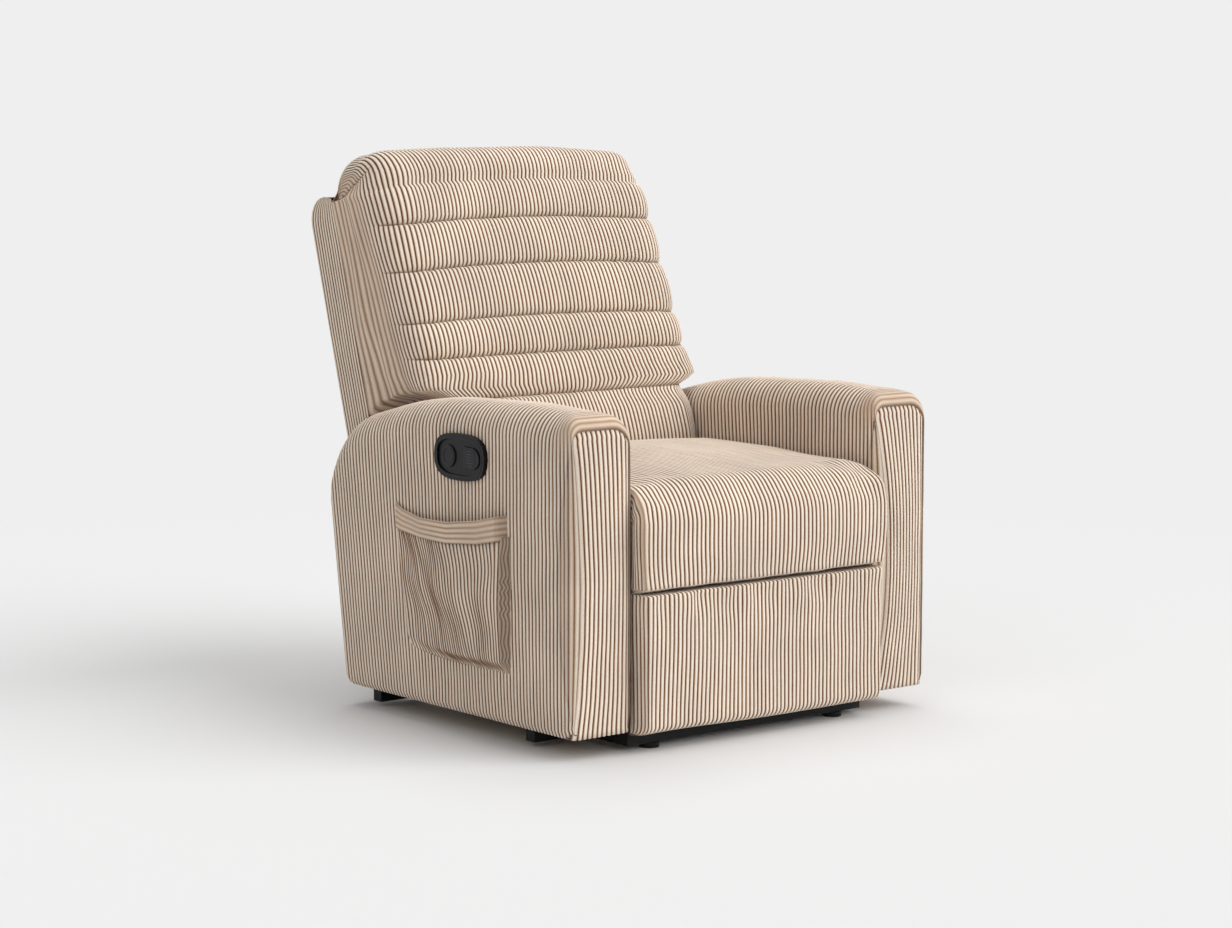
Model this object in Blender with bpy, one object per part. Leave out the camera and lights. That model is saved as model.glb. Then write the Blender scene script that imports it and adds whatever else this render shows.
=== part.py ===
"""Power recliner armchair: fixed padded arms, a seat on glides, a reclining back and a
linkage footrest.  Metres, +Z up, arm fronts at Y = 0 and the rear towards +Y while it is
laid out; the whole chair is centred on its own footprint at the end."""

import math

import bmesh
import bpy
from mathutils import Matrix, Vector

# ---- fits between pieces
FIT = 0.0003                  # gap between pieces that touch
RUN = 0.0005                  # running gap round a pin or in a slide
SOFT_GAP = 0.007              # gap between two upholstered faces that pass each other
WELD = 0.001                  # how far joined shapes of one piece reach into each other

# ---- base frame on the floor
FOOT_RADIUS = 0.018
FOOT_INSET = 0.035            # foot to the inner face of the side rail
FOOT_HEIGHT = 0.009
TUBE_HEIGHT = 0.0307          # cross tubes
TUBE_DEPTH = 0.025
FRONT_TUBE_Y = 0.022
REAR_TUBE_Y = 0.625
RAIL_WIDTH = 0.024
RAIL_HEIGHT = 0.0337
ARM_BEARER_Y = 0.150          # stub of each side rail that carries the front of an arm
BEARER_INSET = 0.035          # end of a bearer or tube to the arm's outer face
GLIDE_WALL = 0.003
GLIDE_HEIGHT = 0.020
GLIDE_START = 0.295
GLIDE_END = 0.530
SHOE_LENGTH = 0.040
FRONT_SHOE_Y = 0.350
REAR_SHOE_Y = 0.500
SHOE_TOP = 0.105

# ---- arms
SEAT_SPAN = 0.580             # between the inner faces of the arms
ARM_WIDTH = 0.130
ARM_TOP = 0.620
ARM_ROUND = 0.050             # radius over the arm, side to side
ARM_FRONT_ROUND = 0.050
ARM_CREST_END = 0.457         # where the level top would meet the falling line
ARM_CREST_RADIUS = 1.260
ARM_SHOULDER = (0.767, 0.519)
ARM_SHOULDER_RADIUS = 0.150
ARM_HEEL = 0.692
ARM_REAR_ROUND = 0.030
ARM_SKIN = 0.014
HOLLOW_ROUND = 0.020
HOLLOW_CREST_END = 0.577      # level top of the hollow in the arm's padding
HOLLOW_REAR_TOP = 0.450
HOLLOW_HEEL = 0.636
HOLLOW_REAR = 0.664
CLEAT_GAP = 0.002             # arm frame to the hollow's front and top
FRAME_CREST_END = 0.517
FRAME_REAR_TOP = 0.420
FRAME_REAR = 0.632
FRAME_ROUND = 0.050
PANEL_DEPTH = 0.016
PANEL_INSET = 0.0015
PANEL_TOP = 0.574
PANEL_FOOT_ROUND = 0.004
PANEL_EDGE = 0.006
BOARD = 0.018                 # plywood of the arm frame
ARM_FRAME_WIDTH = 0.090

# ---- seat
SEAT_FRAME_BOTTOM = 0.318
SEAT_FRAME_TOP = 0.365
SEAT_FRAME_CLEAR = 0.006      # seat rails to the side plates
SEAT_BOARD = 0.025
SEAT_FRAME_FRONT = 0.022
SEAT_FRAME_REAR = 0.450
SEAT_FRONT = -0.036
SEAT_FRONT_TOP = 0.462
SEAT_REAR_TOP = 0.480
SEAT_REAR_BOTTOM_Y = 0.450
SEAT_REAR_TOP_Y = 0.483
SEAT_NOSE_RADIUS = 0.075
SEAT_LIP_RADIUS = 0.020
SEAT_SIDE_ROUND = 0.024
SEAT_CROWN = 0.014
SEAT_PULL = 0.004             # how far the sides draw in between the corners
SEAM_HEIGHT = 0.280           # seam between seat front and footrest
SEAM_GAP = 0.005
SPRING_PITCH = 0.140
SPRING_WIRE = 0.0018
SPRING_SWING = 0.022
SPRING_WAVES = 6
SPRING_RISE = 0.005
SPRING_TAIL = 0.008

# ---- back
PIVOT_Y = 0.600
PIVOT_Z = 0.390
PIVOT_STUD = 0.008
BACK_FRONT = (0.490, 0.468)   # front face at the seat
BACK_FRONT_SLOPE = 0.415      # depth gained per height
BACK_SPLIT = (0.670, 0.560)   # plane between cushion and outer back
BACK_SPLIT_SLOPE = 0.384
BACK_REAR = (0.812, 0.508)    # rear face of the outer back
BACK_REAR_SLOPE = 0.296
BACK_TOP = 1.045
BACK_CORNER = 0.085
BACK_OVERHANG = 0.0475        # how far each side reaches over its arm
BACK_FOOT_CLEAR = 0.016       # foot of the back to the side plates
BACK_FOOT_TOP = 0.445
BACK_BOTTOM = 0.310
DRUM_RADIUS = 0.132           # round lower end, turning beside the seat
ARM_RELIEF = 0.205            # the wide part stays this far from the pivot
RELIEF_EASE = 0.035
FOOT_EASE = 0.020
OUTER_TOP = 0.950
OUTER_SKIN = 0.012
CORNER_TURNS = (0, 30, 60, 90)
FACE_SHARES = (0.66, 0.33, 0.0, -0.33, -0.66)   # columns across the front face
FOOT_SHARES = (0.0, 0.09, 0.30, 0.67, 1.0)      # levels up the foot of the back
WAIST_SHARES = (0.126, 0.333, 0.667, 0.926)     # levels from there to the lowest seam
ROLL_SHARES = (0.0, 0.14, 0.5, 0.86)            # levels within one channel
TOP_TURNS = (25, 45, 62, 76, 86)
COVER_SHARES = (0.0, 0.016, 0.078, 0.172, 0.216, 0.244, 0.297, 0.359, 0.406, 0.453, 0.50, 0.61, 0.766)
COVER_TURNS = (0, 30, 55, 75, 88)
COVER_TOP_ROUND = 0.070
HOLLOW_SHARES = (0.0, 0.165, 0.212, 0.243, 0.300, 0.384, 0.469, 0.570, 1.0)
COVER_TOP_WALL = 0.035
HOLLOW_LEAD = 0.030            # how far the hollow opens ahead of the cover's front edge
CUSHION_ROUNDS = (0.055, 0.018)   # front and rear corners of the cushion, seen from above
COVER_ROUNDS = (0.004, 0.040)     # front and rear corners of the outer back
CHANNEL_SEAMS = (0.580, 0.657, 0.728, 0.826, 0.913)
CHANNEL_BULGE = 0.014
TOP_CREASE = 0.985
SEAM_SAG = 0.018
FOOT_TUCK = 0.010             # how far the lower edge of the back draws in
TOP_TAPER = 0.84              # share of its depth the cushion loses over the top
TOP_REAR_LEAN = 0.2
COVER_CORNER = 0.060          # upper corners of the outer back
COVER_TAPER = 0.6
RELIEF_GAP = 0.0015           # round the pivot bracket
RELIEF_REACH = 0.020
POST_INSET = 0.028            # posts to the sides of the back's foot
POST_WIDTH = 0.025
POST_DEPTH = 0.034
POST_RISE = 0.035             # lower end of the posts above the back's foot
POST_DROP = 0.050             # upper end below the top of the outer back
POST_END = 0.004              # post end to the rail beside it
BACK_RAIL_HEIGHT = 0.070
BACK_RAIL_DEPTH = 0.020
BRACKET_THICK = 0.005
BRACKET_RADIUS = 0.020
BRACKET_END = (0.668, 0.480)

# ---- mechanism
PLATE_THICK = 0.005
PLATE_TO_ARM = 0.011
FLANGE_WIDTH = 0.036
FLANGE_FRONT = 0.0475
PLATE_EYE = 0.026             # radius of the plate round the back's pivot
PLATE_EDGE = 0.005
PLATE_NOSE = 0.215            # top of the plate's upright front edge
PLATE_SLOPE = 0.016
PLATE_WAIST = 0.100
PLATE_HOLES = ((0.360, 0.235), (0.450, 0.155))
PLATE_HOLE_RADIUS = 0.034
LINK_THICK = 0.004
LINK_GAP = 0.001
LINK_RADIUS = 0.009
RIVET_RADIUS = 0.004
RIVET_HEAD = 0.007
RIVET_HEAD_THICK = 0.003
LIFT_PIVOT_Y = 0.157
LIFT_PIVOT_Z = 0.285
LIFT_LENGTH = 0.220           # pivot to the front link's pin
LIFT_CROSS = 0.175            # pivot to the cross link's pin
LIFT_ANGLE = -115.5           # degrees above straight forward, folded
CROSS_LENGTH = 0.207
CROSS_TAIL = 0.060            # cross link's pin to its cam roller
CROSS_ANGLE = 54.5
CROSS_RATIO = 0.38            # the cross link turns back by this share
OPEN_ANGLE = 90.0
CAM_MARGIN = 0.009
TORQUE_RADIUS = 0.010
CRANK_LENGTH = 0.045
CRANK_PIN = 0.0045
CRANK_PLATE = 0.008

# ---- footrest
PAD_BOTTOM = 0.034
PAD_TOP = 0.2775
PAD_FRONT = -0.034
PAD_DEPTH = 0.050
PAD_EDGE = 0.022
PAD_SIDE_ROUND = 0.018
PAD_CROWN = 0.006
PAD_BOARD = 0.012
PAD_BOARD_INSET = 0.020
PAD_BRACKET_FOOT = 0.170
PAD_BRACKET_HEAD = 0.250
PAD_FLANGE = 0.030

# ---- drive
TRACK_HALF = 0.016
TRACK_WALL = 0.0025
TRACK_FRONT = 0.075
TRACK_BOTTOM = 0.183
TRACK_HEIGHT = 0.024
SPINDLE_RADIUS = 0.005
SPINDLE_LIFT = 0.0125         # spindle above the track's underside
CARRIAGE_HALF = 0.022
CARRIAGE_TOP = 0.262
YOKE_WALL = 0.0062
GEARBOX_FRONT = 0.400
GEARBOX_LENGTH = 0.066
GEARBOX_HEIGHT = 0.066
GEARBOX_HALF = 0.028
DRIVE_TUBE_Y = 0.485
DRIVE_TUBE_RADIUS = 0.010
LUG_RADIUS = 0.017
MOTOR_RADIUS = 0.026
MOTOR_LENGTH = 0.086
INLET_RADIUS = 0.007

# ---- side pocket and control
POCKET_FRONT = 0.172
POCKET_REAR = 0.532
POCKET_BOTTOM = 0.132
POCKET_TOP = 0.400
POCKET_BULGE = 0.024
POCKET_SAG = 0.012
POCKET_CLOTH = 0.003
POCKET_BAND = 0.042
CONTROL_Y = 0.311
CONTROL_Z = 0.503
CONTROL_LENGTH = 0.150
CONTROL_HEIGHT = 0.084
CONTROL_PROUD = 0.009
CONTROL_RIM = 0.009
HOUSING_DEPTH = 0.022
HOUSING_INSET = 0.014
BUTTON_RADIUS = 0.020
BUTTON_OFFSET = 0.033
BUTTON_PROUD = 0.0025
BUTTON_GAP = 0.0006
WELL_DEPTH = 0.009
BUTTON_TRAVEL = 0.002

# ---- values that follow from the sizes above
ARM_INNER = SEAT_SPAN / 2
ARM_OUTER = ARM_INNER + ARM_WIDTH
TUBE_TOP = FOOT_HEIGHT + FIT + TUBE_HEIGHT
ARM_BOTTOM = TUBE_TOP + FIT
SEAT_HALF = ARM_INNER - SOFT_GAP
PAD_HALF = SEAT_HALF - 0.002
PLATE_OUT = ARM_INNER - PLATE_TO_ARM
PLATE_IN = PLATE_OUT - PLATE_THICK
SEAT_FRAME_HALF = PLATE_IN - SEAT_FRAME_CLEAR
BACK_HALF = ARM_INNER + BACK_OVERHANG
BACK_FOOT_HALF = PLATE_IN - BACK_FOOT_CLEAR
POST_HALF_OUT = BACK_FOOT_HALF - POST_INSET
POST_BOTTOM = BACK_BOTTOM + POST_RISE
POST_TOP = OUTER_TOP - POST_DROP
RAIL_BOTTOM = FOOT_HEIGHT + FIT
RAIL_TOP = RAIL_BOTTOM + RAIL_HEIGHT
GLIDE_BOTTOM = RAIL_TOP + FIT
RAIL_OUT = PLATE_OUT - 0.0005
RAIL_IN = RAIL_OUT - RAIL_WIDTH
PIVOT = Vector((PIVOT_Y, PIVOT_Z))
LIFT_PIVOT = Vector((LIFT_PIVOT_Y, LIFT_PIVOT_Z))
PAD_REAR = PAD_FRONT + PAD_DEPTH

for scene_object in list(bpy.data.objects):
    bpy.data.objects.remove(scene_object, do_unlink=True)

chair = bpy.data.collections.new("recliner_armchair")
cutters = bpy.data.collections.new("cutters")
bpy.context.scene.collection.children.link(chair)
bpy.context.scene.collection.children.link(cutters)


# ---- materials
def finish(name, colour, roughness, metallic=0.0):
    material = bpy.data.materials.new(name)
    material.use_nodes = True
    shader = material.node_tree.nodes["Principled BSDF"]
    shader.inputs["Base Color"].default_value = (*colour, 1.0)
    shader.inputs["Roughness"].default_value = roughness
    shader.inputs["Metallic"].default_value = metallic
    return material


CORDUROY = finish("corduroy", (0.50, 0.38, 0.28), 0.95)
BLACK_STEEL = finish("black_steel", (0.02, 0.02, 0.02), 0.45, 0.6)
ZINC = finish("zinc_steel", (0.55, 0.55, 0.53), 0.35, 1.0)
PLYWOOD = finish("plywood", (0.50, 0.33, 0.17), 0.7)
NYLON = finish("nylon", (0.75, 0.73, 0.68), 0.5)
BLACK_PLASTIC = finish("black_plastic", (0.018, 0.018, 0.02), 0.4)
BUTTON_PLASTIC = finish("button_plastic", (0.035, 0.035, 0.04), 0.5)
SPRING_STEEL = finish("spring_steel", (0.16, 0.15, 0.15), 0.4, 1.0)


# ---- bodies: one empty on each joint's axis
def heading(angle, length):
    """Step in (Y, Z) of a link at an angle above straight forward, which is -Y."""
    turn = math.radians(angle)
    return Vector((-math.cos(turn) * length, math.sin(turn) * length))


def links_at(opened):
    """Pins of the footrest linkage with the lift link turned by opened degrees."""
    lift = LIFT_ANGLE + opened
    cross = CROSS_ANGLE - CROSS_RATIO * opened
    lift_end = LIFT_PIVOT + heading(lift, LIFT_LENGTH)
    crossing = LIFT_PIVOT + heading(lift, LIFT_CROSS)
    return {
        "lift_end": lift_end,
        "crossing": crossing,
        "pad_low": lift_end + heading(cross, CROSS_LENGTH),
        "pad_high": crossing + heading(cross, CROSS_LENGTH),
        "roller": crossing - heading(cross, CROSS_TAIL),
    }


FOLDED = links_at(0.0)
CRANK_SWING = math.sin(math.radians(OPEN_ANGLE / 2)) * CRANK_LENGTH
CARRIAGE_Y = LIFT_PIVOT_Y + CRANK_SWING

bodies = {}


def body(name, parent, point):
    """Empty on a body's joint axis, point in chair coordinates."""
    empty = bpy.data.objects.new(name + "_axis", None)
    chair.objects.link(empty)
    empty["at"] = point
    if parent:
        empty.parent = bodies[parent]
        empty.location = Vector(point) - Vector(bodies[parent]["at"])
    bodies[name] = empty


body("base", None, (0.0, 0.0, 0.0))
body("seat", "base", (0.0, GLIDE_START, RAIL_TOP))
body("back", "seat", (0.0, PIVOT_Y, PIVOT_Z))
body("lift_links", "seat", (0.0, LIFT_PIVOT_Y, LIFT_PIVOT_Z))
body("cross_links", "lift_links", (0.0, *FOLDED["crossing"]))
body("front_links", "lift_links", (0.0, *FOLDED["lift_end"]))
body("footrest", "front_links", (0.0, *FOLDED["pad_low"]))
body("carriage", "seat", (0.0, CARRIAGE_Y, TRACK_BOTTOM))
body("button_recline", "base", (-ARM_OUTER, CONTROL_Y + BUTTON_OFFSET, CONTROL_Z))
body("button_return", "base", (-ARM_OUTER, CONTROL_Y - BUTTON_OFFSET, CONTROL_Z))


# ---- building blocks
def add(name, mesh, carrier, material, smooth=None):
    """Object for one piece: mesh in chair coordinates, riding on carrier."""
    piece = bpy.data.objects.new(name, mesh)
    chair.objects.link(piece)
    mesh.transform(Matrix.Translation(-Vector(bodies[carrier]["at"])))
    piece.parent = bodies[carrier]
    mesh.materials.clear()
    mesh.materials.append(material)
    if smooth:
        mesh.shade_smooth()
        mesh.set_sharp_from_angle(angle=math.radians(smooth))
    return piece


def tool(piece, mesh, operation, label):
    """Hidden cutter or joining block for a piece, mesh in chair coordinates."""
    helper = bpy.data.objects.new(piece.name + "_" + label, mesh)
    cutters.objects.link(helper)
    carrier = piece.parent
    mesh.transform(Matrix.Translation(-Vector(carrier["at"])))
    helper.parent = carrier
    helper.hide_render = True
    helper.display_type = "WIRE"
    change = piece.modifiers.new(label, "BOOLEAN")
    change.operation = operation
    change.object = helper
    change.solver = "EXACT"
    return helper


def block(low, high):
    """Box mesh between two corners."""
    shape = bmesh.new()
    bmesh.ops.create_cube(shape, size=1.0)
    low, high = Vector(low), Vector(high)
    size = Matrix.Diagonal((*(high - low), 1.0))
    bmesh.ops.transform(shape, matrix=Matrix.Translation((low + high) / 2) @ size, verts=shape.verts)
    mesh = bpy.data.meshes.new("block")
    shape.to_mesh(mesh)
    shape.free()
    return mesh


def rod(start, end, radius, sides=16):
    """Round bar mesh between two points."""
    start, end = Vector(start), Vector(end)
    axis = end - start
    shape = bmesh.new()
    bmesh.ops.create_cone(shape, cap_ends=True, segments=sides, radius1=radius, radius2=radius,
                          depth=axis.length)
    turn = Vector((0.0, 0.0, 1.0)).rotation_difference(axis).to_matrix().to_4x4()
    bmesh.ops.transform(shape, matrix=Matrix.Translation((start + end) / 2) @ turn, verts=shape.verts)
    mesh = bpy.data.meshes.new("rod")
    shape.to_mesh(mesh)
    shape.free()
    return mesh


FACING = {
    "x": Matrix(((0, 0, 1, 0), (1, 0, 0, 0), (0, 1, 0, 0), (0, 0, 0, 1))),
    "y": Matrix(((1, 0, 0, 0), (0, 0, -1, 0), (0, 1, 0, 0), (0, 0, 0, 1))),
}


def extrusion(outlines, axis, low, high):
    """Flat outline, with any holes after it, extruded along x or y between two places."""
    curve = bpy.data.curves.new("outline", "CURVE")
    curve.dimensions = "2D"
    curve.fill_mode = "BOTH"
    curve.extrude = abs(high - low) / 2
    for outline in outlines:
        spline = curve.splines.new("POLY")
        spline.points.add(len(outline) - 1)
        for point, place in zip(spline.points, outline):
            point.co = (place[0], place[1], 0.0, 1.0)
        spline.use_cyclic_u = True
    guide = bpy.data.objects.new("outline", curve)
    cutters.objects.link(guide)
    shift = (high + low) / 2
    offset = (shift, 0, 0) if axis == "x" else (0, shift, 0)
    guide.matrix_world = Matrix.Translation(offset) @ FACING[axis]
    bpy.context.view_layer.update()
    mesh = bpy.data.meshes.new_from_object(guide.evaluated_get(bpy.context.evaluated_depsgraph_get()))
    shape = bmesh.new()
    shape.from_mesh(mesh)
    bmesh.ops.remove_doubles(shape, verts=shape.verts, dist=0.00001)
    bmesh.ops.transform(shape, matrix=guide.matrix_world, verts=shape.verts)
    bmesh.ops.recalc_face_normals(shape, faces=shape.faces)
    shape.to_mesh(mesh)
    shape.free()
    bpy.data.objects.remove(guide, do_unlink=True)
    return mesh


def rounded(corners, step=20.0):
    """Outline through (a, b, radius) corners, each radius drawn as an arc."""
    outline = []
    for index, (across, up, radius) in enumerate(corners):
        here = Vector((across, up))
        before = (Vector(corners[index - 1][:2]) - here).normalized()
        after = (Vector(corners[(index + 1) % len(corners)][:2]) - here).normalized()
        if radius <= 0:
            outline.append(here)
            continue
        half = before.angle(after) / 2
        centre = here + (before + after).normalized() * (radius / math.sin(half))
        arm = here + before * (radius / math.tan(half)) - centre
        turn = math.pi - 2 * half
        sense = 1 if before.cross(after) < 0 else -1
        steps = max(2, math.ceil(math.degrees(turn) / step))
        for count in range(steps + 1):
            outline.append(centre + Matrix.Rotation(sense * turn * count / steps, 2) @ arm)
    return outline


def circle(centre, radius, sides=16):
    return [Vector(centre) + Vector((math.cos(turn), math.sin(turn))) * radius
            for turn in (2 * math.pi * (count + 0.37) / sides for count in range(sides))]


def bar(start, end, radius, sides=12, end_radius=None):
    """Outline of a flat bar with round ends about two pins."""
    start, end = Vector(start), Vector(end)
    along = (end - start).normalized()
    aside = Vector((-along.y, along.x))
    outline = []
    for centre, size, first in ((start, radius, aside), (end, end_radius or radius, -aside)):
        for count in range(sides // 2 + 1):
            outline.append(centre + Matrix.Rotation(math.pi * count / (sides // 2), 2) @ first * size)
    return outline


def loft(rings, name="loft"):
    """Closed skin through rings of equal count, capped at both ends."""
    shape = bmesh.new()
    rows = [[shape.verts.new(point) for point in ring] for ring in rings]
    count = len(rings[0])
    for lower, upper in zip(rows, rows[1:]):
        for index in range(count):
            following = (index + 1) % count
            shape.faces.new((lower[index], lower[following], upper[following], upper[index]))
    shape.faces.new(rows[0][::-1])
    shape.faces.new(rows[-1])
    bmesh.ops.recalc_face_normals(shape, faces=shape.faces)
    mesh = bpy.data.meshes.new(name)
    shape.to_mesh(mesh)
    shape.free()
    return mesh


def ease(value):
    value = min(1.0, max(0.0, value))
    return value * value * (3 - 2 * value)


SIDES = (("left", 1), ("right", -1))


def span(side, near, far):
    """Ordered x range between two distances from the chair's middle."""
    return min(side * near, side * far), max(side * near, side * far)


# ---- base: cross tubes, side rails, feet and glide rails
def base_frame():
    bearer_end = ARM_OUTER - BEARER_INSET
    for label, start, reach in (("front", FRONT_TUBE_Y, RAIL_OUT), ("rear", REAR_TUBE_Y, bearer_end)):
        low = (-reach, start, RAIL_BOTTOM)
        add("base_cross_" + label, block(low, (reach, start + TUBE_DEPTH, TUBE_TOP)), "base", BLACK_STEEL)
        for side_name, side in SIDES:
            centre = Vector((side * (RAIL_IN - FOOT_INSET), start + TUBE_DEPTH / 2, 0.0))
            foot = rod(centre, centre + Vector((0, 0, FOOT_HEIGHT)), FOOT_RADIUS)
            add("foot_" + label + "_" + side_name, foot, "base", BLACK_PLASTIC, 40)
    for side_name, side in SIDES:
        near, far = span(side, RAIL_IN, RAIL_OUT)
        start = FRONT_TUBE_Y + TUBE_DEPTH + FIT
        rail = block((near, start, RAIL_BOTTOM), (far, REAR_TUBE_Y - FIT, RAIL_TOP))
        rail = add("base_rail_" + side_name, rail, "base", BLACK_STEEL)
        stub, end = span(side, RAIL_OUT - WELD, bearer_end)
        bearer = block((stub, ARM_BEARER_Y, RAIL_BOTTOM), (end, ARM_BEARER_Y + TUBE_DEPTH, TUBE_TOP))
        tool(rail, bearer, "UNION", "bearer")
        top = GLIDE_BOTTOM + GLIDE_HEIGHT
        floor = GLIDE_BOTTOM + GLIDE_WALL
        channel = [(near, GLIDE_BOTTOM), (far, GLIDE_BOTTOM), (far, top), (far - GLIDE_WALL, top),
                   (far - GLIDE_WALL, floor), (near + GLIDE_WALL, floor), (near + GLIDE_WALL, top),
                   (near, top)]
        glide = extrusion([channel], "y", GLIDE_START, GLIDE_END)
        add("glide_rail_" + side_name, glide, "base", ZINC)


# ---- arms: plywood frame, padded cover, arched front panel
def arm_outline(inset=0.0, step=15.0):
    """Side view of the arm's cover, (Y, Z) points from the front foot upwards."""
    front = PANEL_DEPTH + inset
    top = ARM_TOP - inset
    shoulder = (ARM_SHOULDER[0] - inset, ARM_SHOULDER[1] - inset * 1.1)
    return rounded([
        (front, ARM_BOTTOM, 0.0),
        (front, top, ARM_FRONT_ROUND - inset),
        (ARM_CREST_END, top, ARM_CREST_RADIUS),
        (*shoulder, ARM_SHOULDER_RADIUS - inset),
        (ARM_HEEL - inset, ARM_BOTTOM, 0.0),
    ], step)


def arm_rings(inner, outer):
    """Arm cover as rings across the arm; its edge over the top is a quarter round."""
    outline = arm_outline()
    count = len(outline)
    normals = []
    for index, point in enumerate(outline):
        along = outline[(index + 1) % count] - outline[index - 1]
        normals.append(Vector((-along.y, along.x)).normalized())
    middle = (inner + outer) / 2
    half = (outer - inner) / 2
    rings = []
    turns = [math.radians(angle) for angle in (0, 22, 45, 68, 90)]
    places = [(-1, turn) for turn in turns] + [(1, turn) for turn in reversed(turns)]
    for sign, turn in places:
        drop = 1 - math.sin(turn)
        across = middle + sign * (half - ARM_ROUND * (1 - math.cos(turn)))
        ring = []
        for index, point in enumerate(outline):
            normal = normals[index]
            back = max(normal.x, 0.0) * ARM_REAR_ROUND * drop
            down = max(normal.y, 0.0) * ARM_ROUND * drop
            if point.y <= ARM_BOTTOM + WELD:
                down = 0.0
            ring.append(Vector((across, point.x - back, point.y - down)))
        rings.append(ring)
    return rings


def arms():
    for side_name, side in SIDES:
        near, far = span(side, ARM_INNER, ARM_OUTER)
        middle = (near + far) / 2
        cover = add("arm_cover_" + side_name, loft(arm_rings(near, far)), "base", CORDUROY, 60)
        pocket_half = ARM_WIDTH / 2 - ARM_SKIN
        hollow = rounded([
            (PANEL_DEPTH + ARM_SKIN, ARM_BOTTOM - WELD, 0.0),
            (PANEL_DEPTH + ARM_SKIN, ARM_TOP - ARM_ROUND - ARM_SKIN, HOLLOW_ROUND),
            (HOLLOW_CREST_END, ARM_TOP - ARM_ROUND - ARM_SKIN, HOLLOW_ROUND),
            (HOLLOW_REAR, HOLLOW_REAR_TOP, HOLLOW_ROUND),
            (HOLLOW_HEEL, ARM_BOTTOM - WELD, 0.0),
        ], 30.0)
        tool(cover, extrusion([hollow], "x", middle - pocket_half, middle + pocket_half),
             "DIFFERENCE", "hollow")
        if side < 0:
            seat_of_control = oval(CONTROL_LENGTH - 2 * HOUSING_INSET + 2 * RUN,
                                   CONTROL_HEIGHT - 2 * HOUSING_INSET + 2 * RUN)
            tool(cover, extrusion([seat_of_control], "x", near - WELD, near + ARM_SKIN + WELD),
                 "DIFFERENCE", "control_seat")
        arm_frame(side_name, middle)
        panel = rounded([
            (near + PANEL_INSET, ARM_BOTTOM, PANEL_FOOT_ROUND),
            (far - PANEL_INSET, ARM_BOTTOM, PANEL_FOOT_ROUND),
            (far - PANEL_INSET, PANEL_TOP, ARM_ROUND),
            (near + PANEL_INSET, PANEL_TOP, ARM_ROUND),
        ], 15.0)
        front = add("arm_front_panel_" + side_name, extrusion([panel], "y", 0.0, PANEL_DEPTH - FIT),
                    "base", CORDUROY)
        round_edges(front, PANEL_EDGE, 2, lambda deep: deep < WELD)


def round_edges(piece, width, segments, chosen):
    """Bevel the outline edges of a flat piece whose Y passes the test."""
    shape = bmesh.new()
    shape.from_mesh(piece.data)
    bmesh.ops.dissolve_limit(shape, angle_limit=0.01, verts=shape.verts, edges=shape.edges)
    edges = [edge for edge in shape.edges
             if all(chosen(vert.co.y) for vert in edge.verts) and edge.calc_face_angle(0) > 1.0]
    bmesh.ops.bevel(shape, geom=edges, offset=width, offset_type="OFFSET", segments=segments,
                    profile=0.5, affect="EDGES", clamp_overlap=True, material=-1)
    shape.to_mesh(piece.data)
    shape.free()


def arm_frame(side_name, middle):
    """Plywood upright with cleats along its foot, its front and under the arm's top."""
    front = PANEL_DEPTH + ARM_SKIN + FIT
    top = ARM_TOP - ARM_ROUND - ARM_SKIN - FIT
    half = ARM_FRAME_WIDTH / 2
    upright = rounded([
        (front + CLEAT_GAP, ARM_BOTTOM, 0.0),
        (front + CLEAT_GAP, top - CLEAT_GAP, BOARD),
        (FRAME_CREST_END, top - CLEAT_GAP, FRAME_ROUND),
        (FRAME_REAR, FRAME_REAR_TOP, FRAME_ROUND),
        (FRAME_REAR, ARM_BOTTOM, 0.0),
    ], 30.0)
    frame = add("arm_frame_" + side_name,
                extrusion([upright], "x", middle - BOARD / 2, middle + BOARD / 2), "base", PLYWOOD)
    cleats = {
        "foot": ((front, ARM_BOTTOM + WELD / 2), (FRAME_REAR - BOARD, ARM_BOTTOM + BOARD)),
        "front": ((front + WELD / 2, ARM_BOTTOM + BOARD / 2), (front + BOARD, top - BOARD * 2)),
        "top": ((front + BOARD * 1.5, top - BOARD), (ARM_CREST_END, top)),
    }
    for label, (low, high) in cleats.items():
        tool(frame, block((middle - half, *low), (middle + half, *high)), "UNION", label + "_cleat")


# ---- control: oval housing with two wells, and its two buttons
def oval(length, height, sides=28, squareness=0.72):
    """Rounded oval about the control's middle, (Y, Z) points."""
    outline = []
    for count in range(sides):
        turn = 2 * math.pi * count / sides
        along = math.copysign(abs(math.cos(turn)) ** squareness, math.cos(turn)) * length / 2
        up = math.copysign(abs(math.sin(turn)) ** squareness, math.sin(turn)) * height / 2
        outline.append(Vector((CONTROL_Y + along, CONTROL_Z + up)))
    return outline


def button_outlines(grow=0.0):
    """Round recline button at the rear, half-oval return button at the front."""
    radius = BUTTON_RADIUS + grow
    recline = circle((CONTROL_Y + BUTTON_OFFSET, CONTROL_Z), radius, 20)
    flat = CONTROL_Y - BUTTON_OFFSET + BUTTON_RADIUS + grow
    half = [(flat, CONTROL_Z - radius), (flat, CONTROL_Z + radius)]
    for count in range(1, 10):
        turn = math.pi / 2 + math.pi * count / 10
        half.append((CONTROL_Y - BUTTON_OFFSET + math.cos(turn) * radius * 1.3,
                     CONTROL_Z + math.sin(turn) * radius))
    return {"button_recline": recline, "button_return": half}


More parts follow.
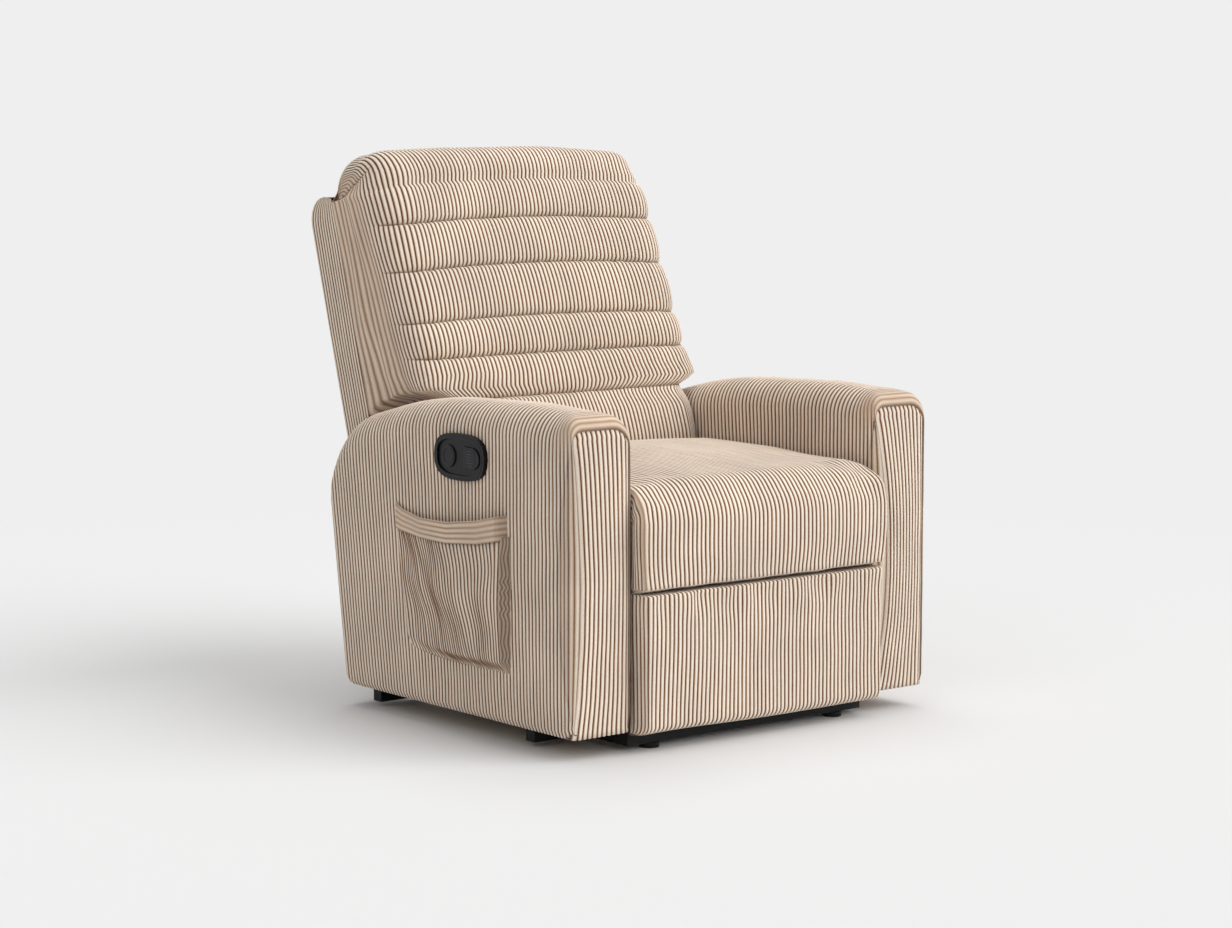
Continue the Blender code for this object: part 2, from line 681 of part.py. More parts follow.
def control():
    face = -(ARM_OUTER + FIT)
    rim = face - CONTROL_PROUD
    housing = add("switch_housing", extrusion([oval(CONTROL_LENGTH, CONTROL_HEIGHT)], "x", rim, face),
                  "base", BLACK_PLASTIC)
    box_length = CONTROL_LENGTH - 2 * HOUSING_INSET
    box_height = CONTROL_HEIGHT - 2 * HOUSING_INSET
    tool(housing, extrusion([oval(box_length, box_height)], "x", face - 0.002, face + HOUSING_DEPTH),
         "UNION", "box")
    tray = oval(CONTROL_LENGTH - 2 * CONTROL_RIM, CONTROL_HEIGHT - 2 * CONTROL_RIM)
    tool(housing, extrusion([tray], "x", rim - 0.01, rim + 0.003), "DIFFERENCE", "tray")
    wells = button_outlines(BUTTON_GAP)
    buttons = button_outlines()
    well_floor = rim + 0.003 + WELL_DEPTH
    for name in buttons:
        tool(housing, extrusion([wells[name]], "x", rim - 0.02, well_floor), "DIFFERENCE", name)
        low = rim + 0.003 - BUTTON_PROUD
        add(name, extrusion([buttons[name]], "x", low, well_floor - BUTTON_TRAVEL - FIT),
            name, BUTTON_PLASTIC)


# ---- side pocket: a gathered pouch, open at the top
def side_pocket():
    length = POCKET_REAR - POCKET_FRONT
    middle = (POCKET_REAR + POCKET_FRONT) / 2
    wall = -(ARM_OUTER + FIT)
    columns = 15

    def ring(rise, inset):
        """One level of the pouch, from its rear foot round the belly and back."""
        height = POCKET_BOTTOM + (POCKET_TOP - POCKET_BOTTOM) * rise
        lift = 0.045 * (1 - ease(rise / 0.45))
        belly = POCKET_BULGE * (0.45 + 0.55 * math.sin(math.pi * min(1.0, 0.18 + 0.72 * rise)))
        band = 0.003 if POCKET_TOP - height < POCKET_BAND else 0.0
        points = []
        for index in range(columns):
            share = index / (columns - 1)
            along = math.cos(math.pi * share)
            crown = max(0.0, 1 - abs(along) ** 3.0)
            fold = 0.0022 * math.cos(share * math.pi * 8) * crown * (1 - ease((rise - 0.6) / 0.3))
            room = (belly + fold + band) * crown
            out = 2 * POCKET_CLOTH + room - (0.5 * inset if inset else 0.0)
            sag = POCKET_SAG * crown * ease((rise - 0.55) / 0.45)
            tuck = lift * ease((along + 0.2) / 1.2)
            points.append(Vector((wall - out, middle + along * (length / 2 - inset) * (0.97 + 0.03 * rise),
                                  height - sag + tuck * (1 - rise))))
        back = [Vector((wall - inset, place.y, place.z)) for place in points[-2:0:-2]]
        return points + back

    outer = [ring(rise, 0.0) for rise in (0.0, 0.04, 0.14, 0.3, 0.5, 0.7, 0.84, 0.85, 1.0)]
    inner = [ring(rise, POCKET_CLOTH) for rise in (1.0, 0.8, 0.6, 0.4, 0.2, 0.08)]
    add("side_pocket", loft(outer + inner), "base", CORDUROY, 70)


# ---- seat: side plates with cam slots, shoes, boards, springs and cushion
def cam_path(offset, count=22, overrun=0.0):
    """Roller path in the side plate, moved aside by offset."""
    places = []
    for index in range(count + 1):
        opened = -overrun + (OPEN_ANGLE + 2 * overrun) * index / count
        here = links_at(opened)["roller"]
        along = (links_at(opened + 0.5)["roller"] - links_at(opened - 0.5)["roller"]).normalized()
        places.append(here + Vector((along.y, -along.x)) * offset)
    return places


def cam_slot():
    """Closed slot outline round the roller's path, with round ends."""
    reach = RIVET_RADIUS + RUN
    slot = cam_path(reach)
    ends = []
    for opened, sense in ((OPEN_ANGLE, 1), (0.0, -1)):
        here = links_at(opened)["roller"]
        along = (links_at(opened + 0.5)["roller"] - links_at(opened - 0.5)["roller"]).normalized() * sense
        first = Vector((along.y, -along.x)) * reach
        ends.append([here + Matrix.Rotation(math.pi * count / 6, 2) @ first for count in range(1, 6)])
    return slot + ends[0] + cam_path(-reach)[::-1] + ends[1]


def side_plates():
    margin = RIVET_RADIUS + RUN + CAM_MARGIN
    top = SEAT_FRAME_BOTTOM - FIT
    front = PAD_REAR + PAD_BOARD + 0.003
    arm_line = (PIVOT - Vector((SEAT_FRAME_REAR, top - 0.018))).normalized()
    aside = Vector((-arm_line.y, arm_line.x))
    eye = PLATE_EYE
    shoe_line = GLIDE_BOTTOM + GLIDE_HEIGHT + 0.0035
    lower = [place for place in cam_path(-margin, 10, 1.5) if place.x > front + 0.004]
    outline = [Vector((front, lower[-1].y + CLEAT_GAP)), Vector((front, PLATE_NOSE)),
               Vector((front + PLATE_SLOPE, top))]
    outline += [Vector((SEAT_FRAME_REAR, top)), PIVOT + aside * eye]
    for count in range(1, 8):
        outline.append(PIVOT + Matrix.Rotation(-math.pi * count / 8, 2) @ aside * eye)
    heel = REAR_SHOE_Y + SHOE_LENGTH / 2 + PLATE_EDGE
    outline += [PIVOT - aside * eye, Vector((heel + PLATE_EDGE, PIVOT_Z - PLATE_WAIST)),
                Vector((heel, SHOE_TOP - PLATE_EDGE)), Vector((heel, shoe_line)),
                Vector((GLIDE_START - PLATE_EDGE, shoe_line))]
    outline += lower
    holes = [circle(LIFT_PIVOT, TORQUE_RADIUS + RUN), circle(PIVOT, PIVOT_STUD + RUN), cam_slot()]
    holes += [circle(place, PLATE_HOLE_RADIUS) for place in PLATE_HOLES]
    for side_name, side in SIDES:
        low, high = span(side, PLATE_IN, PLATE_OUT)
        plate = add("side_plate_" + side_name, extrusion([outline] + holes, "x", low, high), "seat", ZINC)
        near, far = span(side, PLATE_OUT - FLANGE_WIDTH, PLATE_IN + 0.002)
        flange = block((near, FLANGE_FRONT, top - PLATE_THICK), (far, SEAT_FRAME_REAR - WELD, top - 0.00002))
        tool(plate, flange, "UNION", "flange")
        for place, centre in (("front", FRONT_SHOE_Y), ("rear", REAR_SHOE_Y)):
            low, high = span(side, RAIL_IN + GLIDE_WALL + RUN, RAIL_OUT - GLIDE_WALL - RUN)
            stem_low, stem_high = span(side, RAIL_IN + GLIDE_WALL + 0.0015, PLATE_IN - FIT)
            sole = GLIDE_BOTTOM + GLIDE_WALL + FIT
            ankle = GLIDE_BOTTOM + GLIDE_HEIGHT - 0.001
            inward, outward = (low, high) if side > 0 else (high, low)
            stem_in, stem_out = (stem_low, stem_high) if side > 0 else (stem_high, stem_low)
            profile = [(inward, sole), (outward, sole), (outward, ankle), (stem_out, ankle),
                       (stem_out, SHOE_TOP), (stem_in, SHOE_TOP), (stem_in, ankle), (inward, ankle)]
            shoe = extrusion([profile], "y", centre - SHOE_LENGTH / 2, centre + SHOE_LENGTH / 2)
            add("glide_shoe_" + place + "_" + side_name, shoe, "seat", NYLON)


def seat_frame():
    bottom, top = SEAT_FRAME_BOTTOM, SEAT_FRAME_TOP - FIT
    front_end = SEAT_FRAME_FRONT + SEAT_BOARD
    rear_start = SEAT_FRAME_REAR - SEAT_BOARD
    half = SEAT_FRAME_HALF
    add("seat_rail_front", block((-half, SEAT_FRAME_FRONT, bottom), (half, front_end, top)), "seat", PLYWOOD)
    add("seat_rail_rear", block((-half, rear_start, bottom), (half, SEAT_FRAME_REAR, top)), "seat", PLYWOOD)
    for side_name, side in SIDES:
        near, far = span(side, half - SEAT_BOARD, half)
        board = block((near, front_end + FIT, bottom), (far, rear_start - FIT, top))
        add("seat_rail_" + side_name, board, "seat", PLYWOOD)
    add("seat_cross_tube", rod((-(PLATE_IN - FIT), DRIVE_TUBE_Y, TRACK_BOTTOM + SPINDLE_LIFT),
                               (PLATE_IN - FIT, DRIVE_TUBE_Y, TRACK_BOTTOM + SPINDLE_LIFT),
                               DRIVE_TUBE_RADIUS), "seat", ZINC, 40)
    for label, centre in (("left", SPRING_PITCH), ("middle", 0.0), ("right", -SPRING_PITCH)):
        spring(label, centre, front_end + FIT, rear_start - FIT)


def spring(label, centre, start, end):
    """Zigzag wire spring from the front rail to the rear rail, arched upwards."""
    curve = bpy.data.curves.new("spring", "CURVE")
    curve.dimensions = "3D"
    curve.bevel_depth = SPRING_WIRE
    curve.bevel_resolution = 1
    curve.use_fill_caps = True
    spline = curve.splines.new("POLY")
    steps = SPRING_WAVES * 6
    level = SEAT_FRAME_TOP - SPRING_RISE - SPRING_WIRE * 3
    places = [(centre, start, level)]
    first, last = start + SPRING_TAIL, end - SPRING_TAIL
    for index in range(steps + 1):
        share = index / steps
        swing = math.sin(share * SPRING_WAVES * 2 * math.pi)
        swing = math.copysign(abs(swing) ** 0.6, swing) * SPRING_SWING
        places.append((centre + swing, first + (last - first) * share,
                       level + SPRING_RISE * math.sin(math.pi * share)))
    places.append((centre, end, level))
    spline.points.add(len(places) - 1)
    for point, place in zip(spline.points, places):
        point.co = (*place, 1.0)
    guide = bpy.data.objects.new("spring", curve)
    cutters.objects.link(guide)
    bpy.context.view_layer.update()
    mesh = bpy.data.meshes.new_from_object(guide.evaluated_get(bpy.context.evaluated_depsgraph_get()))
    shape = bmesh.new()
    shape.from_mesh(mesh)
    bmesh.ops.remove_doubles(shape, verts=shape.verts, dist=0.00001)
    shape.to_mesh(mesh)
    shape.free()
    bpy.data.objects.remove(guide, do_unlink=True)
    add("seat_spring_" + label, mesh, "seat", SPRING_STEEL)


def seat_cushion():
    """Crowned cushion that rolls over the front rail, drawn in along its sides."""
    bottom = SEAT_FRAME_TOP
    profile = rounded([
        (SEAT_REAR_BOTTOM_Y, bottom, 0.010),
        (SEAT_REAR_TOP_Y, SEAT_REAR_TOP, 0.022),
        (SEAT_FRONT, SEAT_FRONT_TOP, SEAT_NOSE_RADIUS),
        (SEAT_FRONT, SEAM_HEIGHT + SEAM_GAP / 2, SEAT_LIP_RADIUS),
        (SEAT_FRAME_FRONT - FIT, SEAM_HEIGHT + SEAM_GAP / 2, 0.006),
        (SEAT_FRAME_FRONT - FIT, bottom, 0.0),
    ], 22.0)
    middle_y = (SEAT_FRONT + SEAT_REAR_TOP_Y) / 2
    depth = SEAT_REAR_TOP_Y - SEAT_FRONT
    steps = []
    for turn in (0, 30, 60, 90):
        angle = math.radians(turn)
        inset = SEAT_SIDE_ROUND * (1 - math.sin(angle))
        steps.append((SEAT_HALF - SEAT_SIDE_ROUND * (1 - math.cos(angle)), inset))
    steps += [(SEAT_HALF * share, 0.0) for share in (0.66, 0.33, 0.0)]
    rings = []
    for half, inset in [(-half, inset) for half, inset in steps] + [step for step in reversed(steps[:-1])]:
        crown = SEAT_CROWN * (1 - (half / SEAT_HALF) ** 2)
        ring = []
        for place in profile:
            along = (place.x - SEAT_FRONT) / depth
            draw = SEAT_PULL * math.sin(math.pi * along) * (abs(half) / SEAT_HALF) ** 4
            up = place.y
            if up > bottom + 0.02:
                up += crown * (0.4 + 0.6 * math.sin(math.pi * along)) * ease((up - bottom) / 0.08) - inset
            deep = place.x
            if deep < SEAT_FRONT + 0.05:
                deep += inset * 0.8 - 0.004 * (1 - (half / SEAT_HALF) ** 2)
            ring.append(Vector((half - math.copysign(draw, half), deep, up)))
        rings.append(ring)
    add("seat_cushion", loft(rings), "seat", CORDUROY, 60)


# ---- back: posts, rails, pivot brackets, channelled cushion and outer back
def split_at(height):
    return BACK_SPLIT[0] + (height - BACK_SPLIT[1]) * BACK_SPLIT_SLOPE


def half_width(deep, height):
    """Half width of the back: narrow between the arms, wide clear of their tops."""
    narrow = BACK_FOOT_HALF + (SEAT_HALF - BACK_FOOT_HALF) * ease((height - BACK_FOOT_TOP) / FOOT_EASE)
    reach = math.hypot(deep - PIVOT_Y, height - PIVOT_Z)
    return narrow + (BACK_HALF - SEAT_HALF) * ease((reach - ARM_RELIEF) / RELIEF_EASE)


def back_ring(height, front, rear, front_round, rear_round, shrink=0.0, bulge=0.0, sag=0.0):
    """One level of the back seen from above, with its own front and rear corner radii."""
    turns = [math.radians(angle) for angle in CORNER_TURNS]
    spots = [(front_round * (1 - math.cos(turn)), front + front_round * (1 - math.sin(turn)))
             for turn in reversed(turns)]
    spots += [(rear_round * (1 - math.cos(turn)), rear - rear_round * (1 - math.sin(turn))) for turn in turns]
    edge = [(side * (half_width(deep, height) - shrink - inward), deep)
            for side, row in ((-1, spots), (1, spots[::-1])) for inward, deep in row]
    half = edge[len(spots)][0]
    edge = edge[:len(spots)] + [(half * share, rear) for share in (-0.5, 0.0, 0.5)] + edge[len(spots):]
    half = edge[-1][0]
    edge += [(half * share, front) for share in FACE_SHARES]
    ring = []
    for across, deep in edge:
        share = across / (half_width(deep, height) - shrink)
        near = ease((front + front_round - deep) / max(front_round, FIT))
        level = height - sag * share ** 2
        lean = BACK_FRONT_SLOPE if near > 0 else BACK_SPLIT_SLOPE
        ring.append(Vector((across, deep - near * bulge * (1 - share ** 4) + (level - height) * lean, level)))
    return ring


def channel_bulge(height):
    """Fullness of the padding between the cross seams."""
    seams = (SEAT_REAR_TOP - 0.005,) + CHANNEL_SEAMS + (TOP_CREASE, BACK_TOP + 0.03)
    for low, high in zip(seams, seams[1:]):
        if low <= height < high:
            return CHANNEL_BULGE * math.sin(math.pi * (height - low) / (high - low)) ** 0.6
    return 0.0


def front_at(height):
    """Front face of the back cushion, round below where it turns beside the seat."""
    line = BACK_FRONT[0] + (height - BACK_FRONT[1]) * BACK_FRONT_SLOPE
    if height < PIVOT_Z + DRUM_RADIUS:
        drum = PIVOT_Y - math.sqrt(max(DRUM_RADIUS ** 2 - (height - PIVOT_Z) ** 2, 0.0))
        line = max(line, drum)
    return line


def back_cushion():
    levels = [BACK_BOTTOM + (BACK_FOOT_TOP - BACK_BOTTOM) * share for share in FOOT_SHARES]
    levels += [BACK_FOOT_TOP + (CHANNEL_SEAMS[0] - BACK_FOOT_TOP) * share for share in WAIST_SHARES]
    stops = CHANNEL_SEAMS + (TOP_CREASE,)
    for low, high in zip(stops, stops[1:]):
        levels += [low + (high - low) * share for share in ROLL_SHARES]
    levels += [TOP_CREASE]
    rings = []
    for height in sorted(levels):
        shrink = BACK_CORNER * (1 - math.sqrt(max(0.0, 1 - ease_in(height) ** 2)))
        waist = FOOT_TUCK if height < BACK_BOTTOM + WELD else 0.0
        sag = SEAM_SAG * ease((height - CHANNEL_SEAMS[0]) / (CHANNEL_SEAMS[3] - CHANNEL_SEAMS[0]))
        rear = split_at(height) - FIT - waist / 2
        rings.append(back_ring(height, front_at(height) + waist, rear, *CUSHION_ROUNDS, shrink + waist,
                               channel_bulge(height), sag))
    base_front = front_at(TOP_CREASE)
    base_rear = split_at(TOP_CREASE) - FIT
    room = BACK_TOP - TOP_CREASE
    for turn in TOP_TURNS:
        angle = math.radians(turn)
        height = TOP_CREASE + room * math.sin(angle)
        near = 1 - math.cos(angle)
        lean = room * math.sin(angle) * BACK_FRONT_SLOPE
        shrink = BACK_CORNER * (1 - math.sqrt(max(0.0, 1 - ease_in(height) ** 2)))
        depth = base_rear - base_front
        squeeze = 1 - near * TOP_TAPER
        draw = near * depth * TOP_TAPER / 2
        rings.append(back_ring(height, base_front + lean + draw, base_rear + lean * TOP_REAR_LEAN - draw,
                               CUSHION_ROUNDS[0] * squeeze, CUSHION_ROUNDS[1] * squeeze, shrink,
                               channel_bulge(height) * (1 - near), SEAM_SAG))
    cushion = add("back_cushion", loft(rings), "back", CORDUROY, 50)
    for side_name, side in SIDES:
        relief(cushion, side, side_name)


def ease_in(height):
    """Share of the top corner's rounding reached at a height."""
    return min(1.0, max(0.0, (height - (BACK_TOP - BACK_CORNER)) / BACK_CORNER * 0.9))


def relief(piece, side, side_name):
    """Clear space for the pivot bracket and its stud in an upholstered side."""
    near, far = span(side, POST_HALF_OUT, ARM_INNER + RELIEF_REACH)
    outline = bar(PIVOT, BRACKET_END, BRACKET_RADIUS + RELIEF_GAP)
    tool(piece, extrusion([outline], "x", near, far), "DIFFERENCE", "bracket_relief_" + side_name)


def rear_at(height):
    return BACK_REAR[0] + (height - BACK_REAR[1]) * BACK_REAR_SLOPE


def outer_back():
    rings = []
    hollow = []
    tall = OUTER_TOP - BACK_BOTTOM
    for height in [BACK_BOTTOM + tall * share for share in COVER_SHARES]:
        waist = FOOT_TUCK if height == BACK_BOTTOM else 0.0
        rings.append(back_ring(height, split_at(height), rear_at(height) - waist, *COVER_ROUNDS, waist))
    for turn in COVER_TURNS:
        angle = math.radians(turn)
        height = OUTER_TOP - COVER_TOP_ROUND * (1 - math.sin(angle))
        shrink = COVER_CORNER * (1 - math.cos(angle))
        rear = rear_at(height) - shrink * COVER_TAPER
        rings.append(back_ring(height, split_at(height), rear, *COVER_ROUNDS, shrink))
    floor = BACK_BOTTOM + OUTER_SKIN
    for height in [floor + (OUTER_TOP - COVER_TOP_WALL - floor) * share for share in HOLLOW_SHARES]:
        hollow.append(back_ring(height, split_at(height) - HOLLOW_LEAD, rear_at(height) - OUTER_SKIN,
                                COVER_ROUNDS[0], COVER_ROUNDS[1] - OUTER_SKIN, OUTER_SKIN))
    cover = add("back_outer_cover", loft(rings), "back", CORDUROY, 50)
    tool(cover, loft(hollow), "DIFFERENCE", "hollow")
    for side_name, side in SIDES:
        relief(cover, side, side_name)


def back_frame():
    gap = FIT
    inner = POST_HALF_OUT - POST_WIDTH

    def strip(low, high, deep=POST_DEPTH):
        return [Vector((split_at(low) + gap, low)), Vector((split_at(high) + gap, high)),
                Vector((split_at(high) + gap + deep, high)), Vector((split_at(low) + gap + deep, low))]

    for side_name, side in SIDES:
        near, far = span(side, inner, POST_HALF_OUT)
        post = extrusion([strip(POST_BOTTOM, POST_TOP)], "x", near, far)
        add("back_post_" + side_name, post, "back", PLYWOOD)
        bracket_in = POST_HALF_OUT + FIT
        near, far = span(side, bracket_in, bracket_in + BRACKET_THICK)
        bracket = add("back_bracket_" + side_name,
                      extrusion([bar(PIVOT, BRACKET_END, BRACKET_RADIUS)], "x", near, far), "back", ZINC)
        tool(bracket, rod((side * (bracket_in + BRACKET_THICK / 2), *PIVOT),
                          (side * (PLATE_OUT - FIT), *PIVOT), PIVOT_STUD), "UNION", "stud")
    reach = inner - FIT
    for label, low in (("top", POST_TOP - BACK_RAIL_HEIGHT - POST_END), ("bottom", POST_BOTTOM + POST_END)):
        rail = extrusion([strip(low, low + BACK_RAIL_HEIGHT, BACK_RAIL_DEPTH)], "x", -reach, reach)
        add("back_rail_" + label, rail, "back", PLYWOOD)


# ---- footrest linkage
def layer(index):
    """Distance range from the middle of link layer 0 (outer), 1 or 2 (inner)."""
    far = PLATE_IN - LINK_GAP - index * (LINK_THICK + LINK_GAP)
    return far - LINK_THICK, far


def rivet(piece, side, place, start, end, label):
    """Pin from one layer through another, ending in a head when it points inwards."""
    tool(piece, rod((side * start, *place), (side * end, *place), RIVET_RADIUS, 10), "UNION", label)
    if end < start:
        head = rod((side * (end + 0.0002), *place), (side * (end - RIVET_HEAD_THICK), *place), RIVET_HEAD, 12)
        tool(piece, head, "UNION", label + "_head")


def linkage():
    pins = FOLDED
    hole = RIVET_RADIUS + RUN
    outer, middle, inner = layer(0), layer(1), layer(2)
    for side_name, side in SIDES:
        place = span(side, *middle)
        lift = extrusion([bar(LIFT_PIVOT, pins["lift_end"], 0.016, 16, LINK_RADIUS),
                          circle(LIFT_PIVOT, TORQUE_RADIUS + FIT)], "x", *place)
        lift = add("lift_link_" + side_name, lift, "lift_links", ZINC)
        rivet(lift, side, pins["lift_end"], middle[1] - 0.001, outer[1] + FIT, "end_pin")
        rivet(lift, side, pins["crossing"], middle[0] + 0.001, inner[0] - FIT, "cross_pin")

        cross = extrusion([bar(pins["roller"], pins["pad_high"], LINK_RADIUS),
                           circle(pins["crossing"], hole), circle(pins["pad_high"], hole)],
                          "x", *span(side, *inner))
        cross = add("cross_link_" + side_name, cross, "cross_links", ZINC)
        rivet(cross, side, pins["roller"], inner[1] - 0.001, PLATE_OUT - FIT, "cam_pin")

        front = extrusion([bar(pins["lift_end"], pins["pad_low"], LINK_RADIUS),
                           circle(pins["lift_end"], hole), circle(pins["pad_low"], hole)],
                          "x", *span(side, *outer))
        add("front_link_" + side_name, front, "front_links", ZINC)
        pad_bracket(side_name, side, pins, outer, middle, inner)
    torque = add("torque_tube", rod((-(PLATE_OUT - FIT), *LIFT_PIVOT), (PLATE_OUT - FIT, *LIFT_PIVOT),
                                    TORQUE_RADIUS, 20), "lift_links", ZINC, 40)
    tip = LIFT_PIVOT + heading(-90.0 - OPEN_ANGLE / 2, CRANK_LENGTH)
    tool(torque, extrusion([bar(LIFT_PIVOT, tip, 0.014, 12, 0.010)], "x", -CRANK_PLATE / 2, CRANK_PLATE / 2),
         "UNION", "crank")
    reach = TRACK_HALF - TRACK_WALL
    tool(torque, rod((-reach, *tip), (reach, *tip), CRANK_PIN, 12), "UNION", "crank_pin")


def pad_bracket(side_name, side, pins, outer, middle, inner):
    """Bent plate from the two link pins forward to the footrest board."""
    board_back = PAD_REAR + PAD_BOARD + 2 * FIT
    away = (pins["pad_high"] - pins["pad_low"]).normalized()
    outline = [Vector((board_back, PAD_BRACKET_HEAD)), Vector((board_back, PAD_BRACKET_FOOT))]
    outline += [pins["pad_low"] + Matrix.Rotation(math.radians(turn), 2) @ -away * LINK_RADIUS
                for turn in (-60, -20, 20, 60)]
    outline += [pins["pad_high"] + Matrix.Rotation(math.radians(turn), 2) @ away * LINK_RADIUS
                for turn in (-60, -20, 20, 60)]
    plate = add("pad_bracket_" + side_name, extrusion([outline], "x", *span(side, *middle)), "footrest", ZINC)
    near, far = span(side, middle[0] - PAD_FLANGE, middle[1] - 0.0005)
    flange = block((near, board_back + 0.00002, PAD_BRACKET_FOOT + 0.002),
                   (far, board_back + LINK_THICK, PAD_BRACKET_HEAD - 0.002))
    tool(plate, flange, "UNION", "flange")
    rivet(plate, side, pins["pad_low"], middle[1] - 0.001, outer[1] + FIT, "low_pin")
    rivet(plate, side, pins["pad_high"], middle[0] + 0.001, inner[0] - FIT, "high_pin")


def footrest():
    """Board and crowned pad of the footrest, upright while it is folded."""
    edge = PAD_BOARD_INSET
    board = block((-(PAD_HALF - edge), PAD_REAR + FIT, PAD_BOTTOM + edge),
                  (PAD_HALF - edge, PAD_REAR + FIT + PAD_BOARD, PAD_TOP - edge * 0.8))
    add("footrest_board", board, "footrest", PLYWOOD)
    profile = rounded([
        (PAD_REAR, PAD_BOTTOM, 0.008), (PAD_REAR, PAD_TOP, 0.008),
        (PAD_FRONT, PAD_TOP, PAD_EDGE), (PAD_FRONT, PAD_BOTTOM, PAD_EDGE)], 30.0)
    centre = (PAD_BOTTOM + PAD_TOP) / 2
    tall = (PAD_TOP - PAD_BOTTOM) / 2
    steps = []
    for turn in (0, 30, 60, 90):
        angle = math.radians(turn)
        inset = PAD_SIDE_ROUND * (1 - math.sin(angle))
        steps.append((PAD_HALF - PAD_SIDE_ROUND * (1 - math.cos(angle)), inset))
    steps += [(PAD_HALF * share, 0.0) for share in (0.6, 0.2)]
    rings = []
    for half, inset in [(-half, inset) for half, inset in steps] + steps[::-1]:
        ring = []
        for place in profile:
            share = (place.y - centre) / tall
            front = ease((PAD_REAR - 0.01 - place.x) / (PAD_DEPTH - 0.02))
            swell = PAD_CROWN * (1 - (half / PAD_HALF) ** 2) * (1 - share ** 2)
            deep = place.x + front * (inset - swell)
            ring.append(Vector((half, deep, place.y - share * inset * 0.5)))
        rings.append(ring)
    add("footrest_pad", loft(rings), "footrest", CORDUROY, 60)


# ---- drive: track, spindle, carriage, gearbox and motor
def drive():
    bottom = TRACK_BOTTOM
    top = bottom + TRACK_HEIGHT
    half = TRACK_HALF
    wall = TRACK_WALL
    spindle = Vector((0.0, 0.0, bottom + SPINDLE_LIFT))
    track_end = GEARBOX_FRONT - FIT
    channel = [(-half, bottom), (half, bottom), (half, top), (half - wall, top), (half - wall, bottom + wall),
               (-half + wall, bottom + wall), (-half + wall, top), (-half, top)]
    add("actuator_track", extrusion([channel], "y", TRACK_FRONT, track_end), "seat", BLACK_STEEL)
    add("spindle", rod(spindle + Vector((0, TRACK_FRONT + 0.004, 0)), spindle + Vector((0, track_end, 0)),
                       SPINDLE_RADIUS, 12), "seat", ZINC, 40)

    floor = bottom + wall + FIT
    yoke = bottom + CARRIAGE_HALF * 2
    outer = YOKE_WALL + 0.006
    sides = [(CARRIAGE_Y - CARRIAGE_HALF, floor), (CARRIAGE_Y + CARRIAGE_HALF, floor),
             (CARRIAGE_Y + CARRIAGE_HALF, yoke - 0.006), (CARRIAGE_Y + outer, yoke),
             (CARRIAGE_Y + outer, CARRIAGE_TOP), (CARRIAGE_Y + YOKE_WALL, CARRIAGE_TOP),
             (CARRIAGE_Y + YOKE_WALL, yoke), (CARRIAGE_Y - YOKE_WALL, yoke),
             (CARRIAGE_Y - YOKE_WALL, CARRIAGE_TOP), (CARRIAGE_Y - outer, CARRIAGE_TOP),
             (CARRIAGE_Y - outer, yoke), (CARRIAGE_Y - CARRIAGE_HALF, yoke - 0.006)]
    reach = half - wall - FIT
    carriage = add("carriage", extrusion([sides], "x", -reach, reach), "carriage", BLACK_PLASTIC)
    throat = CRANK_PLATE / 2 + 0.0015
    ends = (CARRIAGE_Y - CARRIAGE_HALF - WELD, CARRIAGE_Y + CARRIAGE_HALF + WELD)
    slot = block((-throat, ends[0], yoke - WELD / 10), (throat, ends[1], CARRIAGE_TOP + WELD))
    tool(carriage, slot, "DIFFERENCE", "throat")
    bore = rod(spindle + Vector((0, ends[0], 0)), spindle + Vector((0, ends[1], 0)), SPINDLE_RADIUS + RUN, 16)
    tool(carriage, bore, "DIFFERENCE", "bore")

    middle = bottom + SPINDLE_LIFT
    low, high = middle - GEARBOX_HEIGHT / 2, middle + GEARBOX_HEIGHT / 2
    rear = GEARBOX_FRONT + GEARBOX_LENGTH
    case = rounded([(GEARBOX_FRONT, low, 0.006), (rear, low, 0.010), (rear, high, 0.010),
                    (GEARBOX_FRONT, high, 0.006)], 30.0)
    gearbox = add("gearbox", extrusion([case], "x", -GEARBOX_HALF, GEARBOX_HALF), "seat", BLACK_PLASTIC)
    ear = bar((rear - 0.01, middle), (DRIVE_TUBE_Y, middle), LUG_RADIUS, 12)
    tool(gearbox, extrusion([ear], "x", -GEARBOX_HALF * 0.6, GEARBOX_HALF * 0.6), "UNION", "ear")
    tool(gearbox, rod((-0.05, DRIVE_TUBE_Y, middle), (0.05, DRIVE_TUBE_Y, middle), DRIVE_TUBE_RADIUS + FIT),
         "DIFFERENCE", "eye")
    motor(GEARBOX_FRONT + GEARBOX_LENGTH / 2, middle)


